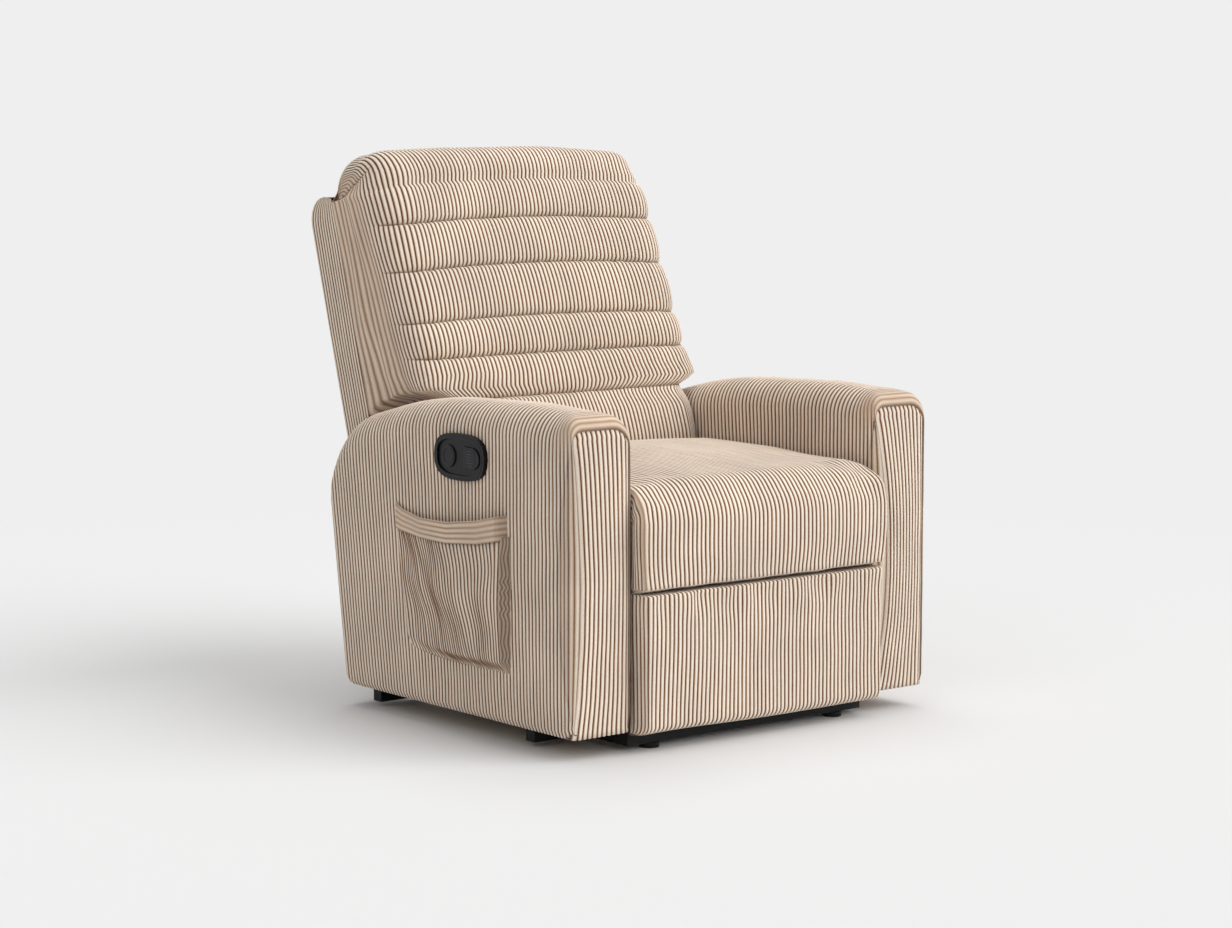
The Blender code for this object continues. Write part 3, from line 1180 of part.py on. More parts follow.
def motor(deep, level):
    """Motor can turned about X, with its power inlet in the end cap."""
    start = GEARBOX_HALF + FIT
    end = start + MOTOR_LENGTH
    profile = [(0.0, end - 0.008), (INLET_RADIUS - 0.0025, end - 0.008), (INLET_RADIUS - 0.0025, end),
               (INLET_RADIUS, end), (INLET_RADIUS, end - 0.006), (MOTOR_RADIUS * 0.8, end - 0.008),
               (MOTOR_RADIUS, end - 0.016), (MOTOR_RADIUS, start + 0.006),
               (MOTOR_RADIUS * 0.7, start + 0.006), (MOTOR_RADIUS * 0.7, start), (0.0, start)]
    shape = bmesh.new()
    verts = [shape.verts.new((radius, 0.0, height)) for radius, height in profile]
    for first, second in zip(verts, verts[1:]):
        shape.edges.new((first, second))
    bmesh.ops.spin(shape, geom=shape.verts[:] + shape.edges[:], axis=(0, 0, 1), cent=(0, 0, 0),
                   dvec=(0, 0, 0), angle=2 * math.pi, steps=20, use_merge=True)
    bmesh.ops.remove_doubles(shape, verts=shape.verts, dist=0.00001)
    turn = Matrix.Translation((0.0, deep, level)) @ Matrix.Rotation(math.pi / 2, 4, "Y")
    bmesh.ops.transform(shape, matrix=turn, verts=shape.verts)
    bmesh.ops.recalc_face_normals(shape, faces=shape.faces)
    mesh = bpy.data.meshes.new("motor")
    shape.to_mesh(mesh)
    shape.free()
    add("motor", mesh, "seat", BLACK_STEEL, 40)


# ---- the chair stands centred on its own footprint
def centre_on_footprint():
    bpy.context.view_layer.update()
    graph = bpy.context.evaluated_depsgraph_get()
    corners = []
    for piece in chair.objects:
        if piece.type == "MESH":
            solid = piece.evaluated_get(graph)
            corners += [solid.matrix_world @ Vector(corner) for corner in solid.bound_box]
    across = [corner.x for corner in corners]
    deep = [corner.y for corner in corners]
    bodies["base"].location = (-(min(across) + max(across)) / 2, -(min(deep) + max(deep)) / 2, 0.0)


base_frame()
arms()
control()
side_pocket()
side_plates()
seat_frame()
seat_cushion()
back_cushion()
outer_back()
back_frame()
linkage()
footrest()
drive()
centre_on_footprint()
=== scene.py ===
"""Power recliner armchair in wide-wale corduroy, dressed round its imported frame."""

import math

import bmesh
import bpy
import numpy as np
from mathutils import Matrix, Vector


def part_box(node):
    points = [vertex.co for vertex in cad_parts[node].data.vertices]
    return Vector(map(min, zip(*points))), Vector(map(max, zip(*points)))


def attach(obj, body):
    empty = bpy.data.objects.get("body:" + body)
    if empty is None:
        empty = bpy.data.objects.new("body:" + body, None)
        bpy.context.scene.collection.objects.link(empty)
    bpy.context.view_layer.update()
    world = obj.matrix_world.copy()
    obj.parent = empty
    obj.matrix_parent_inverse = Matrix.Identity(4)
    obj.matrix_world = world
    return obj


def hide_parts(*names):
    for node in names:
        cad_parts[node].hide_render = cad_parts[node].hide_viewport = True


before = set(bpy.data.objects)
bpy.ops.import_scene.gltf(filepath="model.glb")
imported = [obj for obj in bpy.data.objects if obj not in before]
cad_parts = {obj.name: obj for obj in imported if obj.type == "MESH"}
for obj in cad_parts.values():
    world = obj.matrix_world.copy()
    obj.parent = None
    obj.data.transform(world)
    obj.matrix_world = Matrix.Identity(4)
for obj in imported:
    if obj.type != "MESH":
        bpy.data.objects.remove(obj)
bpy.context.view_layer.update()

# ---- Base: two cross tubes and two rails in powder-coated black steel on moulded feet.  The
# motor and its track share the coating.  Side plates, links, glide rails and brackets are zinc
# plated, the shoes are nylon, and the frames of arms, seat and back are birch plywood.
GLOSS_SWING = 0.08
PLAIN_GLOSS = 0.22


def new_material(name, roughness, metallic=0.0):
    """Material with its own Principled shader; returns its nodes, links and shader."""
    material = bpy.data.materials.new(name)
    material.use_nodes = True
    nodes = material.node_tree.nodes
    shader = nodes["Principled BSDF"]
    shader.inputs["Roughness"].default_value = roughness
    shader.inputs["Metallic"].default_value = metallic
    return material, nodes, material.node_tree.links, shader


def colour_ramp(nodes, stops):
    """Ramp through (place, colour) stops."""
    ramp = nodes.new("ShaderNodeValToRGB")
    ramp.color_ramp.elements.remove(ramp.color_ramp.elements[1])
    for index, (place, colour) in enumerate(stops):
        stop = ramp.color_ramp.elements[0] if index == 0 else ramp.color_ramp.elements.new(place)
        stop.position = place
        stop.color = (*colour, 1.0)
    return ramp


def add_noise(nodes, links, place, scale, detail=3.0, stretch=(1.0, 1.0, 1.0)):
    """Noise over Object coordinates, drawn out along an axis where a stretch is below 1."""
    mapping = nodes.new("ShaderNodeMapping")
    mapping.inputs["Scale"].default_value = stretch
    links.new(place, mapping.inputs["Vector"])
    noise = nodes.new("ShaderNodeTexNoise")
    noise.inputs["Scale"].default_value = scale
    noise.inputs["Detail"].default_value = detail
    links.new(mapping.outputs["Vector"], noise.inputs["Vector"])
    return noise.outputs["Fac"]


def add_range(nodes, links, value, low, high, start=0.0, end=1.0):
    """Turns start to end of a value into low to high."""
    node = nodes.new("ShaderNodeMapRange")
    for label, number in (("From Min", start), ("From Max", end), ("To Min", low), ("To Max", high)):
        node.inputs[label].default_value = number
    links.new(value, node.inputs["Value"])
    return node.outputs["Result"]


def mottled(name, dark, light, roughness, metallic, scale, grain, bump, stretch=(1.0, 1.0, 1.0)):
    """Finish whose colour, gloss and relief all vary: a broad mottle and a fine grain."""
    material, nodes, links, shader = new_material(name, roughness, metallic)
    place = nodes.new("ShaderNodeTexCoord").outputs["Object"]
    broad = add_noise(nodes, links, place, scale, 4.0, stretch)
    fine = add_noise(nodes, links, place, grain, 2.0, stretch)
    ramp = colour_ramp(nodes, [(0.3, dark), (0.7, light)])
    links.new(broad, ramp.inputs["Fac"])
    links.new(ramp.outputs["Color"], shader.inputs["Base Color"])
    gloss = add_range(nodes, links, fine, roughness - GLOSS_SWING, roughness + GLOSS_SWING)
    links.new(gloss, shader.inputs["Roughness"])
    shader.inputs["Specular IOR Level"].default_value = PLAIN_GLOSS
    relief = nodes.new("ShaderNodeBump")
    relief.inputs["Strength"].default_value = 0.4
    relief.inputs["Distance"].default_value = bump
    links.new(fine, relief.inputs["Height"])
    links.new(relief.outputs["Normal"], shader.inputs["Normal"])
    return material


# CAD slot: finish, dark and light colour, roughness, metallic, mottle, grain, relief, stretch
FINISHES = {
    "black_steel": ("black_powder_coat", (0.003, 0.003, 0.0035), (0.006, 0.006, 0.0065), 0.55, 0.0,
                    30, 900, 0.0002),
    "zinc_steel": ("zinc_plate", (0.42, 0.42, 0.40), (0.60, 0.60, 0.57), 0.34, 1.0, 45, 600, 0.0001),
    "spring_steel": ("spring_wire", (0.10, 0.09, 0.09), (0.19, 0.18, 0.17), 0.38, 1.0, 60, 700, 0.0001),
    "plywood": ("birch_plywood", (0.42, 0.27, 0.13), (0.60, 0.43, 0.25), 0.62, 0.0, 14, 160, 0.0003,
                (1, 1, 12)),
    "nylon": ("nylon", (0.66, 0.64, 0.58), (0.76, 0.74, 0.69), 0.48, 0.0, 40, 500, 0.0001),
    "black_plastic": ("black_moulding", (0.0015, 0.0015, 0.002), (0.003, 0.003, 0.0035), 0.36, 0.0,
                      50, 1500, 0.0001),
    "button_plastic": ("button_moulding", (0.010, 0.010, 0.012), (0.016, 0.016, 0.018), 0.50, 0.0,
                       50, 1500, 0.0001)}
finishes = {slot: mottled(*recipe) for slot, recipe in FINISHES.items()}
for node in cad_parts.values():
    for holder in node.material_slots:
        if holder.material and holder.material.name in finishes:
            holder.material = finishes[holder.material.name]

# ---- Arms: plywood frames padded all round and covered in one length of corduroy that runs
# up the outside, over the top and down beside the seat.  A narrow front panel is sewn in
# under the rolled front edge, with a small gusset at the corner on the sitter's right.
panel_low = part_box("arm_front_panel_right")[0]
MIDDLE = (panel_low.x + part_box("arm_front_panel_left")[1].x) / 2
FRONT = panel_low.y
arm_low, arm_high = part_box("arm_cover_right")
ARM_HALF = (arm_high.x - arm_low.x) / 2
ARM_CENTRE = MIDDLE - (arm_low.x + arm_high.x) / 2
ARM_BOTTOM = arm_low.z
RIB_PITCH = 0.00945
RIB_DEPTH = 0.0026
# Section of one rib: places across it, and how high it stands at each.
RIB_STEPS = np.array((0.0, 0.11, 0.27, 0.5, 0.73, 0.89))
RIB_RISE = np.array((0.0, 0.60, 0.93, 1.0, 0.93, 0.60))
RIB_UNEVEN = 0.25
FRONT_ROLL = 0.016
REAR_ROLL = 0.016
ARM_LENGTH = 0.698
ARM_LEAN = 0.143
LEAN_POWER = 1.2
# Shares of the cloth over one side of an arm, round its top corner and over half its top.
ARM_SIDE = 0.42
ARM_TURN = 0.05
ARM_FLAT = 0.03
# Top corner radii at the front edge and behind it, the gusset's widths and its ribs.
TIGHT_CORNER = 0.022
WIDE_CORNER = 0.038
EVEN_CORNER = 0.050
GUSSET_OUTER = 0.017
GUSSET_INNER = 0.034
GUSSET_RIBS = 4.7
SEAM_TUCK = 0.010
ARM_PUFF = 0.0035
ARM_UNEVEN = 0.0012
PRESSED_FLAT = 0.82
PRESSED_LEVEL = 0.32
# How much the painted shade darkens the pile in seams, gaps between panels and gathers.
PAINTED_SHADE_STRENGTH = 0.55
# Pile colours from groove to crest: the weave's brown and the pile's beige, with the groove stops
# darkened as painted shade and the crest stops lightened as a painted highlight.
PILE_RAMP_WITH_PAINTED_LIGHT = (
    (0.00, (0.070, 0.025, 0.010)), (0.18, (0.165, 0.070, 0.031)), (0.31, (0.415, 0.262, 0.164)),
    (0.47, (0.670, 0.528, 0.404)), (0.72, (0.810, 0.710, 0.600)), (1.00, (0.850, 0.782, 0.690)))


def unevenness(first, second, seed, low=8.0, high=40.0, count=6):
    """Smooth seeded waves of about -1 to 1 over two coordinates in metres."""
    pick = np.random.RandomState(seed)
    total = np.zeros(np.broadcast(first, second).shape)
    for _ in range(count):
        size = pick.uniform(low, high)
        turn = pick.uniform(0, 2 * math.pi)
        along = np.cos(turn) * first + np.sin(turn) * second
        total += np.sin(size * along + pick.uniform(0, 2 * math.pi))
    return total / math.sqrt(count)


def ease(value):
    """Soft step from 0 to 1."""
    value = np.clip(value, 0.0, 1.0)
    return value * value * (3 - 2 * value)


def arch(share):
    """0 at both ends of a span and 1 in its middle."""
    return np.sin(np.pi * np.clip(share, 0.0, 1.0))


def bell(offset, width):
    """1 on a line, fading within a width on both sides."""
    return np.exp(-(offset / width) ** 2)


def unit(vectors):
    """Vectors at length 1."""
    return vectors / np.maximum(np.linalg.norm(vectors, axis=-1, keepdims=True), 1e-9)


def trace(corners, step=0.002):
    """Dense outline through corners (y, z, radius); returns points and their lengths."""
    points = []
    last = len(corners) - 1
    for index, (deep, up, radius) in enumerate(corners):
        here = np.array((deep, up))
        if index in (0, last) or radius == 0:
            points.append(here)
            continue
        back = np.array(corners[index - 1][:2]) - here
        ahead = np.array(corners[index + 1][:2]) - here
        back = back / np.linalg.norm(back)
        ahead = ahead / np.linalg.norm(ahead)
        half = math.acos(np.clip(back @ ahead, -1, 1)) / 2
        reach = radius / math.tan(half)
        centre = here + unit(back + ahead) * radius / math.sin(half)
        start = here + back * reach - centre
        end = here + ahead * reach - centre
        first = math.atan2(start[1], start[0])
        sweep = (math.atan2(end[1], end[0]) - first + math.pi) % (2 * math.pi) - math.pi
        for share in np.linspace(0, 1, 25):
            angle = first + sweep * share
            points.append(centre + radius * np.array((math.cos(angle), math.sin(angle))))
    points = np.array(points)
    lengths = np.concatenate(((0.0,), np.cumsum(np.linalg.norm(np.diff(points, axis=0), axis=1))))
    even = np.linspace(0, lengths[-1], int(lengths[-1] / step) + 2)
    return np.stack([np.interp(even, lengths, points[:, axis]) for axis in (0, 1)], axis=1), even


def row_places(*parts):
    """Places of a cloth's rows in order, none of them twice."""
    return np.unique(np.round(np.concatenate(parts), 5))


def cloth(name, ribs, rows, place, outward=1, pressed=None, painted_shade=None, depth=RIB_DEPTH, drift=0.07,
          seed=1):
    """Corduroy laid over a surface: ribs run along the rows' direction, and place(u, v) gives
    the surface point u ribs across and v along.  pressed flattens the pile, and the last mask
    darkens the colour as painted shade in seams, gaps between panels and gathers."""
    steps = len(RIB_STEPS)
    across = ribs * steps
    shape = bmesh.new()
    bmesh.ops.create_grid(shape, x_segments=across, y_segments=len(rows) - 1, size=1.0)
    mesh = bpy.data.meshes.new(name)
    shape.to_mesh(mesh)
    shape.free()
    column = np.arange(across + 1)
    rise = np.append(np.tile(RIB_RISE, ribs), 0.0)
    u = (column // steps + np.append(np.tile(RIB_STEPS, ribs), 0.0))[None, :]
    v = np.asarray(rows)[:, None]
    u, v = np.broadcast_arrays(u, v)
    points = place(u, v)
    along_u = np.gradient(points, axis=1)
    along_v = np.gradient(points, axis=0)
    normal = unit(np.cross(along_u, along_v)) * outward
    flat = np.zeros(u.shape) if pressed is None else np.clip(pressed(u, v), 0, 1)
    # Painted shade: 0 to 1, how far the colour is darkened in seams, gaps and gathers.
    seam = np.zeros(u.shape) if painted_shade is None else np.clip(painted_shade(u, v), 0, 1)
    paces = np.linalg.norm(np.diff(points, axis=0, prepend=points[:1]), axis=-1)
    travel = np.cumsum(paces, axis=0)
    side = unit(along_u) * RIB_PITCH
    swing = drift * unevenness(u * RIB_PITCH * 0.4, travel, seed, 20, 70)
    height = 1 + RIB_UNEVEN * unevenness(np.floor(u) * 7.1, travel, seed + 1, 10, 60)
    points = points + side * swing[..., None] * (1 - flat)[..., None]
    points = points - normal * (depth * (1 - rise)[None, :] * height * (1 - flat))[..., None]
    points = points + np.array((MIDDLE, FRONT, 0.0))
    mesh.vertices.foreach_set("co", points.reshape(-1).astype(np.float32))
    loops = np.empty(len(mesh.loops), dtype=np.int32)
    mesh.loops.foreach_get("vertex_index", loops)
    pattern = np.stack([u.reshape(-1), travel.reshape(-1) / RIB_PITCH], axis=1)[loops]
    mesh.uv_layers.new(name="ribs").data.foreach_set("uv", pattern.reshape(-1).astype(np.float32))
    for label, values in (("pressed", flat), ("painted_shade", seam)):
        layer = mesh.attributes.new(label, "FLOAT", "POINT")
        layer.data.foreach_set("value", values.reshape(-1).astype(np.float32))
    if outward < 0:
        mesh.flip_normals()
    return mesh


def add_piece(shape, name, material, body):
    """Smooth object from a bmesh, which it uses up; it rides on a body."""
    mesh = bpy.data.meshes.new(name)
    shape.to_mesh(mesh)
    shape.free()
    mesh.polygons.foreach_set("use_smooth", [True] * len(mesh.polygons))
    mesh.materials.append(material)
    piece = bpy.data.objects.new(name, mesh)
    bpy.context.scene.collection.objects.link(piece)
    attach(piece, body)
    return piece


def sewn_piece(name, meshes, body, *replaced, close=False):
    """Joins corduroy meshes into one piece, which stands for any CAD nodes named."""
    shape = bmesh.new()
    for mesh in meshes:
        shape.from_mesh(mesh)
        bpy.data.meshes.remove(mesh)
    if close:
        bmesh.ops.remove_doubles(shape, verts=shape.verts, dist=0.00002)
        bmesh.ops.holes_fill(shape, edges=[edge for edge in shape.edges if edge.is_boundary], sides=0)
    piece = add_piece(shape, name, corduroy, body)
    if replaced:
        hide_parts(*replaced)
    return piece


def rib_group():
    """Corduroy pile: brown grooves, beige flanks and cream crests, with brushed patches.  The grooves'
    dark brown is partly painted shade and the crests' cream partly a painted highlight, and a mask adds
    painted shade at seams.
    """
    group = bpy.data.node_groups.new("corduroy_pile", "ShaderNodeTree")
    face = group.interface
    for label, way, kind in (("Ribs", "INPUT", "Vector"), ("Place", "INPUT", "Vector"),
                             ("Pressed", "INPUT", "Float"), ("Painted_shade", "INPUT", "Float"),
                             ("Color", "OUTPUT", "Color"), ("Height", "OUTPUT", "Float"),
                             ("Roughness", "OUTPUT", "Float")):
        face.new_socket(label, in_out=way, socket_type="NodeSocket" + kind)
    nodes, links = group.nodes, group.links
    given = nodes.new("NodeGroupInput").outputs
    result = nodes.new("NodeGroupOutput").inputs

    def math_node(operation, first, second=None):
        node = nodes.new("ShaderNodeMath")
        node.operation = operation
        for socket, value in zip(node.inputs, (first, second)):
            if isinstance(value, (int, float)):
                socket.default_value = value
            elif value is not None:
                links.new(value, socket)
        return node.outputs[0]

    def weaken(value, share):
        """1 less a share of a value."""
        return math_node("SUBTRACT", 1.0, math_node("MULTIPLY", value, share))

    split = nodes.new("ShaderNodeSeparateXYZ")
    links.new(given["Ribs"], split.inputs[0])
    fibre = add_noise(nodes, links, given["Ribs"], 7.0, 3.0, (1.0, 0.35, 1.0))
    patch = add_noise(nodes, links, given["Place"], 9.0, 4.0)
    nap = add_noise(nodes, links, given["Place"], 420.0, 2.0)
    stray = math_node("MULTIPLY", math_node("SUBTRACT", fibre, 0.5), 0.10)
    phase = math_node("FRACT", math_node("ADD", split.outputs[0], stray))
    nearer = math_node("MINIMUM", phase, math_node("SUBTRACT", 1.0, phase))
    from_groove = math_node("MULTIPLY", nearer, 2.0)
    standing = math_node("MULTIPLY", from_groove, weaken(given["Pressed"], PRESSED_FLAT))
    lifted = math_node("ADD", standing, math_node("MULTIPLY", given["Pressed"], PRESSED_LEVEL))
    ramp = colour_ramp(nodes, PILE_RAMP_WITH_PAINTED_LIGHT)
    links.new(lifted, ramp.inputs["Fac"])
    shade = math_node("MULTIPLY", add_range(nodes, links, patch, 0.90, 1.06, 0.30, 0.70),
                      add_range(nodes, links, nap, 0.86, 1.12))
    # Painted shade darkens the colour in seams, gaps between panels and gathers.
    shade = math_node("MULTIPLY", shade, weaken(given["Painted_shade"], PAINTED_SHADE_STRENGTH))
    coloured = nodes.new("ShaderNodeVectorMath")
    coloured.operation = "SCALE"
    links.new(ramp.outputs["Color"], coloured.inputs[0])
    links.new(shade, coloured.inputs["Scale"])
    links.new(coloured.outputs[0], result["Color"])
    height = math_node("ADD", math_node("MULTIPLY", nap, 0.5), math_node("MULTIPLY", fibre, 0.6))
    links.new(height, result["Height"])
    links.new(add_range(nodes, links, fibre, 0.82, 0.98), result["Roughness"])
    return group


pile = rib_group()


def corduroy_material(name):
    """Corduroy that reads a cloth's ribs, its pressed places and its mask of painted shade."""
    material, nodes, links, shader = new_material(name, 0.9)
    group = nodes.new("ShaderNodeGroup")
    group.node_tree = pile
    ribs = nodes.new("ShaderNodeUVMap")
    ribs.uv_map = "ribs"
    links.new(ribs.outputs["UV"], group.inputs["Ribs"])
    links.new(nodes.new("ShaderNodeTexCoord").outputs["Object"], group.inputs["Place"])
    for label in ("pressed", "painted_shade"):
        reader = nodes.new("ShaderNodeAttribute")
        reader.attribute_name = label
        links.new(reader.outputs["Fac"], group.inputs[label.capitalize()])
    links.new(group.outputs["Color"], shader.inputs["Base Color"])
    links.new(group.outputs["Roughness"], shader.inputs["Roughness"])
    bump = nodes.new("ShaderNodeBump")
    bump.inputs["Strength"].default_value = 0.5
    bump.inputs["Distance"].default_value = 0.0006
    links.new(group.outputs["Height"], bump.inputs["Height"])
    links.new(bump.outputs["Normal"], shader.inputs["Normal"])
    shader.inputs["Sheen Weight"].default_value = 0.25
    shader.inputs["Sheen Roughness"].default_value = 0.5
    shader.inputs["Specular IOR Level"].default_value = 0.2
    return material


corduroy = corduroy_material("corduroy_fabric")



def arm_lean(foot):
    """How far the ribs lean back for each metre of height, none at the front."""
    return ARM_LEAN * np.clip(foot / ARM_LENGTH, 0, 1) ** LEAN_POWER


# The crest's outline from the front, and the foot of the leaning rib that meets each point.
crest = trace([(0.0, 0.572, 0), (0.0, 0.594, 0.020), (0.17, 0.602, 0.8), (0.46, 0.594, 0.9),
               (0.767, 0.519, 0.150), (ARM_LENGTH, 0.04, 0.0)])[0]
crest_base = crest[:, 0].copy()
for _ in range(60):
    leaning = crest[:, 0] - arm_lean(crest_base) * (crest[:, 1] - ARM_BOTTOM)
    crest_base = 0.5 * crest_base + 0.5 * leaning
crest_base = np.maximum.accumulate(np.clip(crest_base, 0, ARM_LENGTH - 0.0005))
crest_keep = np.concatenate(((True,), np.diff(crest_base) > 1e-5))
FRONT_ARC = FRONT_ROLL * math.pi / 2
REAR_ARC = REAR_ROLL * math.pi / 2
ARM_ARC = ARM_LENGTH - FRONT_ROLL - REAR_ROLL + FRONT_ARC + REAR_ARC
ARM_RIBS = round(ARM_ARC / RIB_PITCH) + 2


def arm_line(u):
    """Foot, front and rear turn, lip and crest height of the line u ribs behind the front seam."""
    run = (u - 1) * ARM_ARC / (ARM_RIBS - 2)
    front_lip = np.clip(-run / RIB_PITCH, 0, 1)
    rear_lip = np.clip((run - ARM_ARC) / RIB_PITCH, 0, 1)
    front_turn = np.clip(run / FRONT_ROLL, 0, math.pi / 2)
    rear_turn = np.clip((ARM_ARC - run) / REAR_ROLL, 0, math.pi / 2)
    middle = np.clip(run - FRONT_ARC, 0, ARM_LENGTH - FRONT_ROLL - REAR_ROLL)
    foot = FRONT_ROLL * (1 - np.cos(front_turn)) + middle + REAR_ROLL * np.cos(rear_turn)
    top = np.interp(foot, crest_base[crest_keep], crest[crest_keep, 1])
    lip = front_lip + rear_lip
    foot = foot + SEAM_TUCK * front_lip - SEAM_TUCK * rear_lip
    return foot, 1 - np.sin(front_turn), 1 - np.sin(rear_turn), lip, top - SEAM_TUCK / 2 * lip


def lens(share):
    """Nothing at both tips and fuller than an arch between them, as a gusset or a channel is."""
    return arch(share).clip(0.0, 1.0) ** 0.8


def arm_edges(side, foot, front_in, rear_in, climb):
    """Insets and top corner radii on the outer and inner side of an arm section; the gusset is
    at the corner on the sitter's right of each arm."""
    gusset = lens(climb)
    blend = ease(foot / 0.07)
    outer = front_in * (0.003 + (GUSSET_OUTER * gusset if side < 0 else 0.0)) + rear_in * REAR_ROLL
    inner = front_in * (0.001 + (0.0 if side < 0 else GUSSET_INNER * gusset)) + rear_in * REAR_ROLL
    rear_cut = rear_in * REAR_ROLL * 0.9
    tight = TIGHT_CORNER + (EVEN_CORNER - TIGHT_CORNER) * blend - rear_cut
    wide = WIDE_CORNER + (EVEN_CORNER - WIDE_CORNER) * blend - rear_cut
    return (outer, inner, tight, wide) if side < 0 else (outer, inner, wide, tight)


def arm_cover(side):
    """Cloth over one arm: u runs backwards, v from the outside over the top to the inside."""
    def place(u, v):
        foot, front_in, rear_in, lip, top = arm_line(u)
        outer = v < 0.5
        reach = np.where(outer, v, 1 - v)
        climb = np.clip(reach / ARM_SIDE, 0, 1)
        outer_in, inner_in, outer_curve, inner_curve = arm_edges(side, foot, front_in, rear_in, climb)
        curve = np.where(outer, outer_curve, inner_curve)
        turn = np.clip((reach - ARM_SIDE) / ARM_TURN, 0, 1) * math.pi / 2
        flat = np.clip((reach - ARM_SIDE - ARM_TURN) / ARM_FLAT, 0, 1)
        shoulder = top - curve
        up = ARM_BOTTOM + (shoulder - ARM_BOTTOM) * climb + curve * np.sin(turn)
        half = ARM_HALF - np.where(outer, outer_in, inner_in) - 0.006 * lip
        over = half - curve * (1 - np.cos(turn)) - (half - curve) * flat
        under = np.clip(-v, 0, 1) + np.clip(v - 1, 0, 1)
        across = np.where(outer, -over, over) * (1 - under * 0.3)
        height = (up - ARM_BOTTOM) / 0.58
        puff = ARM_PUFF * arch(height) * ease(foot / 0.08) * ease((0.69 - foot) / 0.1)
        fading = ease(foot / 0.06) * ease((0.70 - foot) / 0.1)
        soft = ARM_UNEVEN * unevenness(foot, up, 5, 10, 34) * fading
        across = across + np.where(outer, -(puff + soft * ease(height / 0.1)), soft * 0.3)
        across = across * (1 - 0.075 * (1 - ease(climb / 0.03)) ** 2)
        crown = (1 - (across / ARM_HALF) ** 2) * ease((0.10 - np.abs(v - 0.5)) / 0.05)
        up = up + 0.004 * crown * ease(foot / 0.05)
        corner = ease((0.035 - foot) / 0.035) + ease((foot - ARM_LENGTH + 0.035) / 0.035)
        up = up + 0.010 * corner ** 2 * (1 - ease(climb / 0.10))
        deep = foot + arm_lean(foot) * (up - ARM_BOTTOM)
        return np.stack([side * (ARM_CENTRE - across), deep, up], axis=-1)

    def gusset_edge(v):
        return GUSSET_RIBS * lens((v if side < 0 else 1 - v) / ARM_SIDE)

    def pressed(u, v):
        lips = (u < 1) * 1.0 + (u > ARM_RIBS - 1) * 1.0
        gusset = 0.55 * ease((gusset_edge(v) - u + 1) / 0.8)
        roll = 0.92 * ease((8.0 - u) / 4.0) * ease((0.125 - np.abs(v - 0.5)) / 0.05)
        return lips + gusset + roll + (v < 0) + (v > 1)

    # Painted shade: the front seam line, the gusset's edge seam and the set-in gusset are darkened.
    def painted_shade(u, v):
        edge = gusset_edge(v)
        line = 0.55 * bell(u - 1 - edge, 0.3) * (edge > 0.6)
        inside = 0.22 * ease((edge - u + 1) / 0.8)
        return np.maximum(1.0 * ease((1.10 - u) / 0.15), np.maximum(line, inside))

    rows = np.concatenate((
        (-1.0,), np.linspace(0, ARM_SIDE, 45)[:-1], np.linspace(ARM_SIDE, 1 - ARM_SIDE, 27)[:-1],
        np.linspace(1 - ARM_SIDE, 0.68, 10)[:-1], np.linspace(0.68, 1.0, 10), (2.0,)))
    return cloth("arm", ARM_RIBS, rows, place, side, pressed, painted_shade, seed=11)


def arm_end(side, rear):
    """Front or rear panel stitched in under the rolled edge of the cover."""
    line = arm_line(np.array(ARM_RIBS - 1.0 if rear else 1.0))
    foot, front_in, rear_in, _, top = (float(value) for value in line)
    count = round((2 * ARM_HALF - 0.02) / RIB_PITCH)

    def near_seam(share, v):
        return np.minimum(np.minimum(share, 1 - share), (1 - v) * 3.5)

    def place(u, v):
        climb = np.clip(v, 0, 1)
        edges = arm_edges(side, foot, front_in, rear_in, climb / 0.96)
        outer_in, inner_in, outer_curve, inner_curve = edges
        share = u / count
        across = (outer_in - ARM_HALF) * (1 - share) + (ARM_HALF - inner_in) * share
        outer_top = ARM_HALF - arm_edges(side, foot, front_in, rear_in, 1.0)[0]
        curve = np.where(across < 0, outer_curve, inner_curve)
        limit = np.where(across < 0, outer_top, ARM_HALF - inner_in)
        beyond = np.clip(np.abs(across) - (limit - curve), 0, curve)
        ceiling = top - curve + np.sqrt(np.maximum(curve ** 2 - beyond ** 2, 0)) + 0.001
        up = ARM_BOTTOM + (ceiling - ARM_BOTTOM) * climb
        deep = 0.0035 - 0.0050 * ease(near_seam(share, v) / 0.09) - 0.003 * arch(share) * arch(climb)
        if rear:
            deep = foot - deep + ARM_LEAN * (up - ARM_BOTTOM)
        deep = np.where(v < 0, deep + (-0.02 if rear else 0.02), deep)
        return np.stack([side * (ARM_CENTRE - across), deep, up], axis=-1)

    # Painted shade: the panel's edges darken towards the seams.
    def painted_shade(u, v):
        return 0.7 * ease((0.012 - near_seam(u / count, v)) / 0.010)

    rows = np.concatenate(((-0.01,), np.linspace(0, 0.90, 46)[:-1], np.linspace(0.90, 1.0, 14)))
    return cloth("arm_end", count, rows, place, side if rear else -side, lambda u, v: (v < 0) * 1.0,
                 painted_shade, seed=23)


ARMS = ((-1, "right"), (1, "left"))
for side, label in ARMS:
    cover = sewn_piece("arm_upholstery_" + label, [arm_cover(side), arm_end(side, True)], "base",
                       "arm_cover_" + label)
    front_panel = sewn_piece("arm_front_" + label, [arm_end(side, False)], "base",
                             "arm_front_panel_" + label)

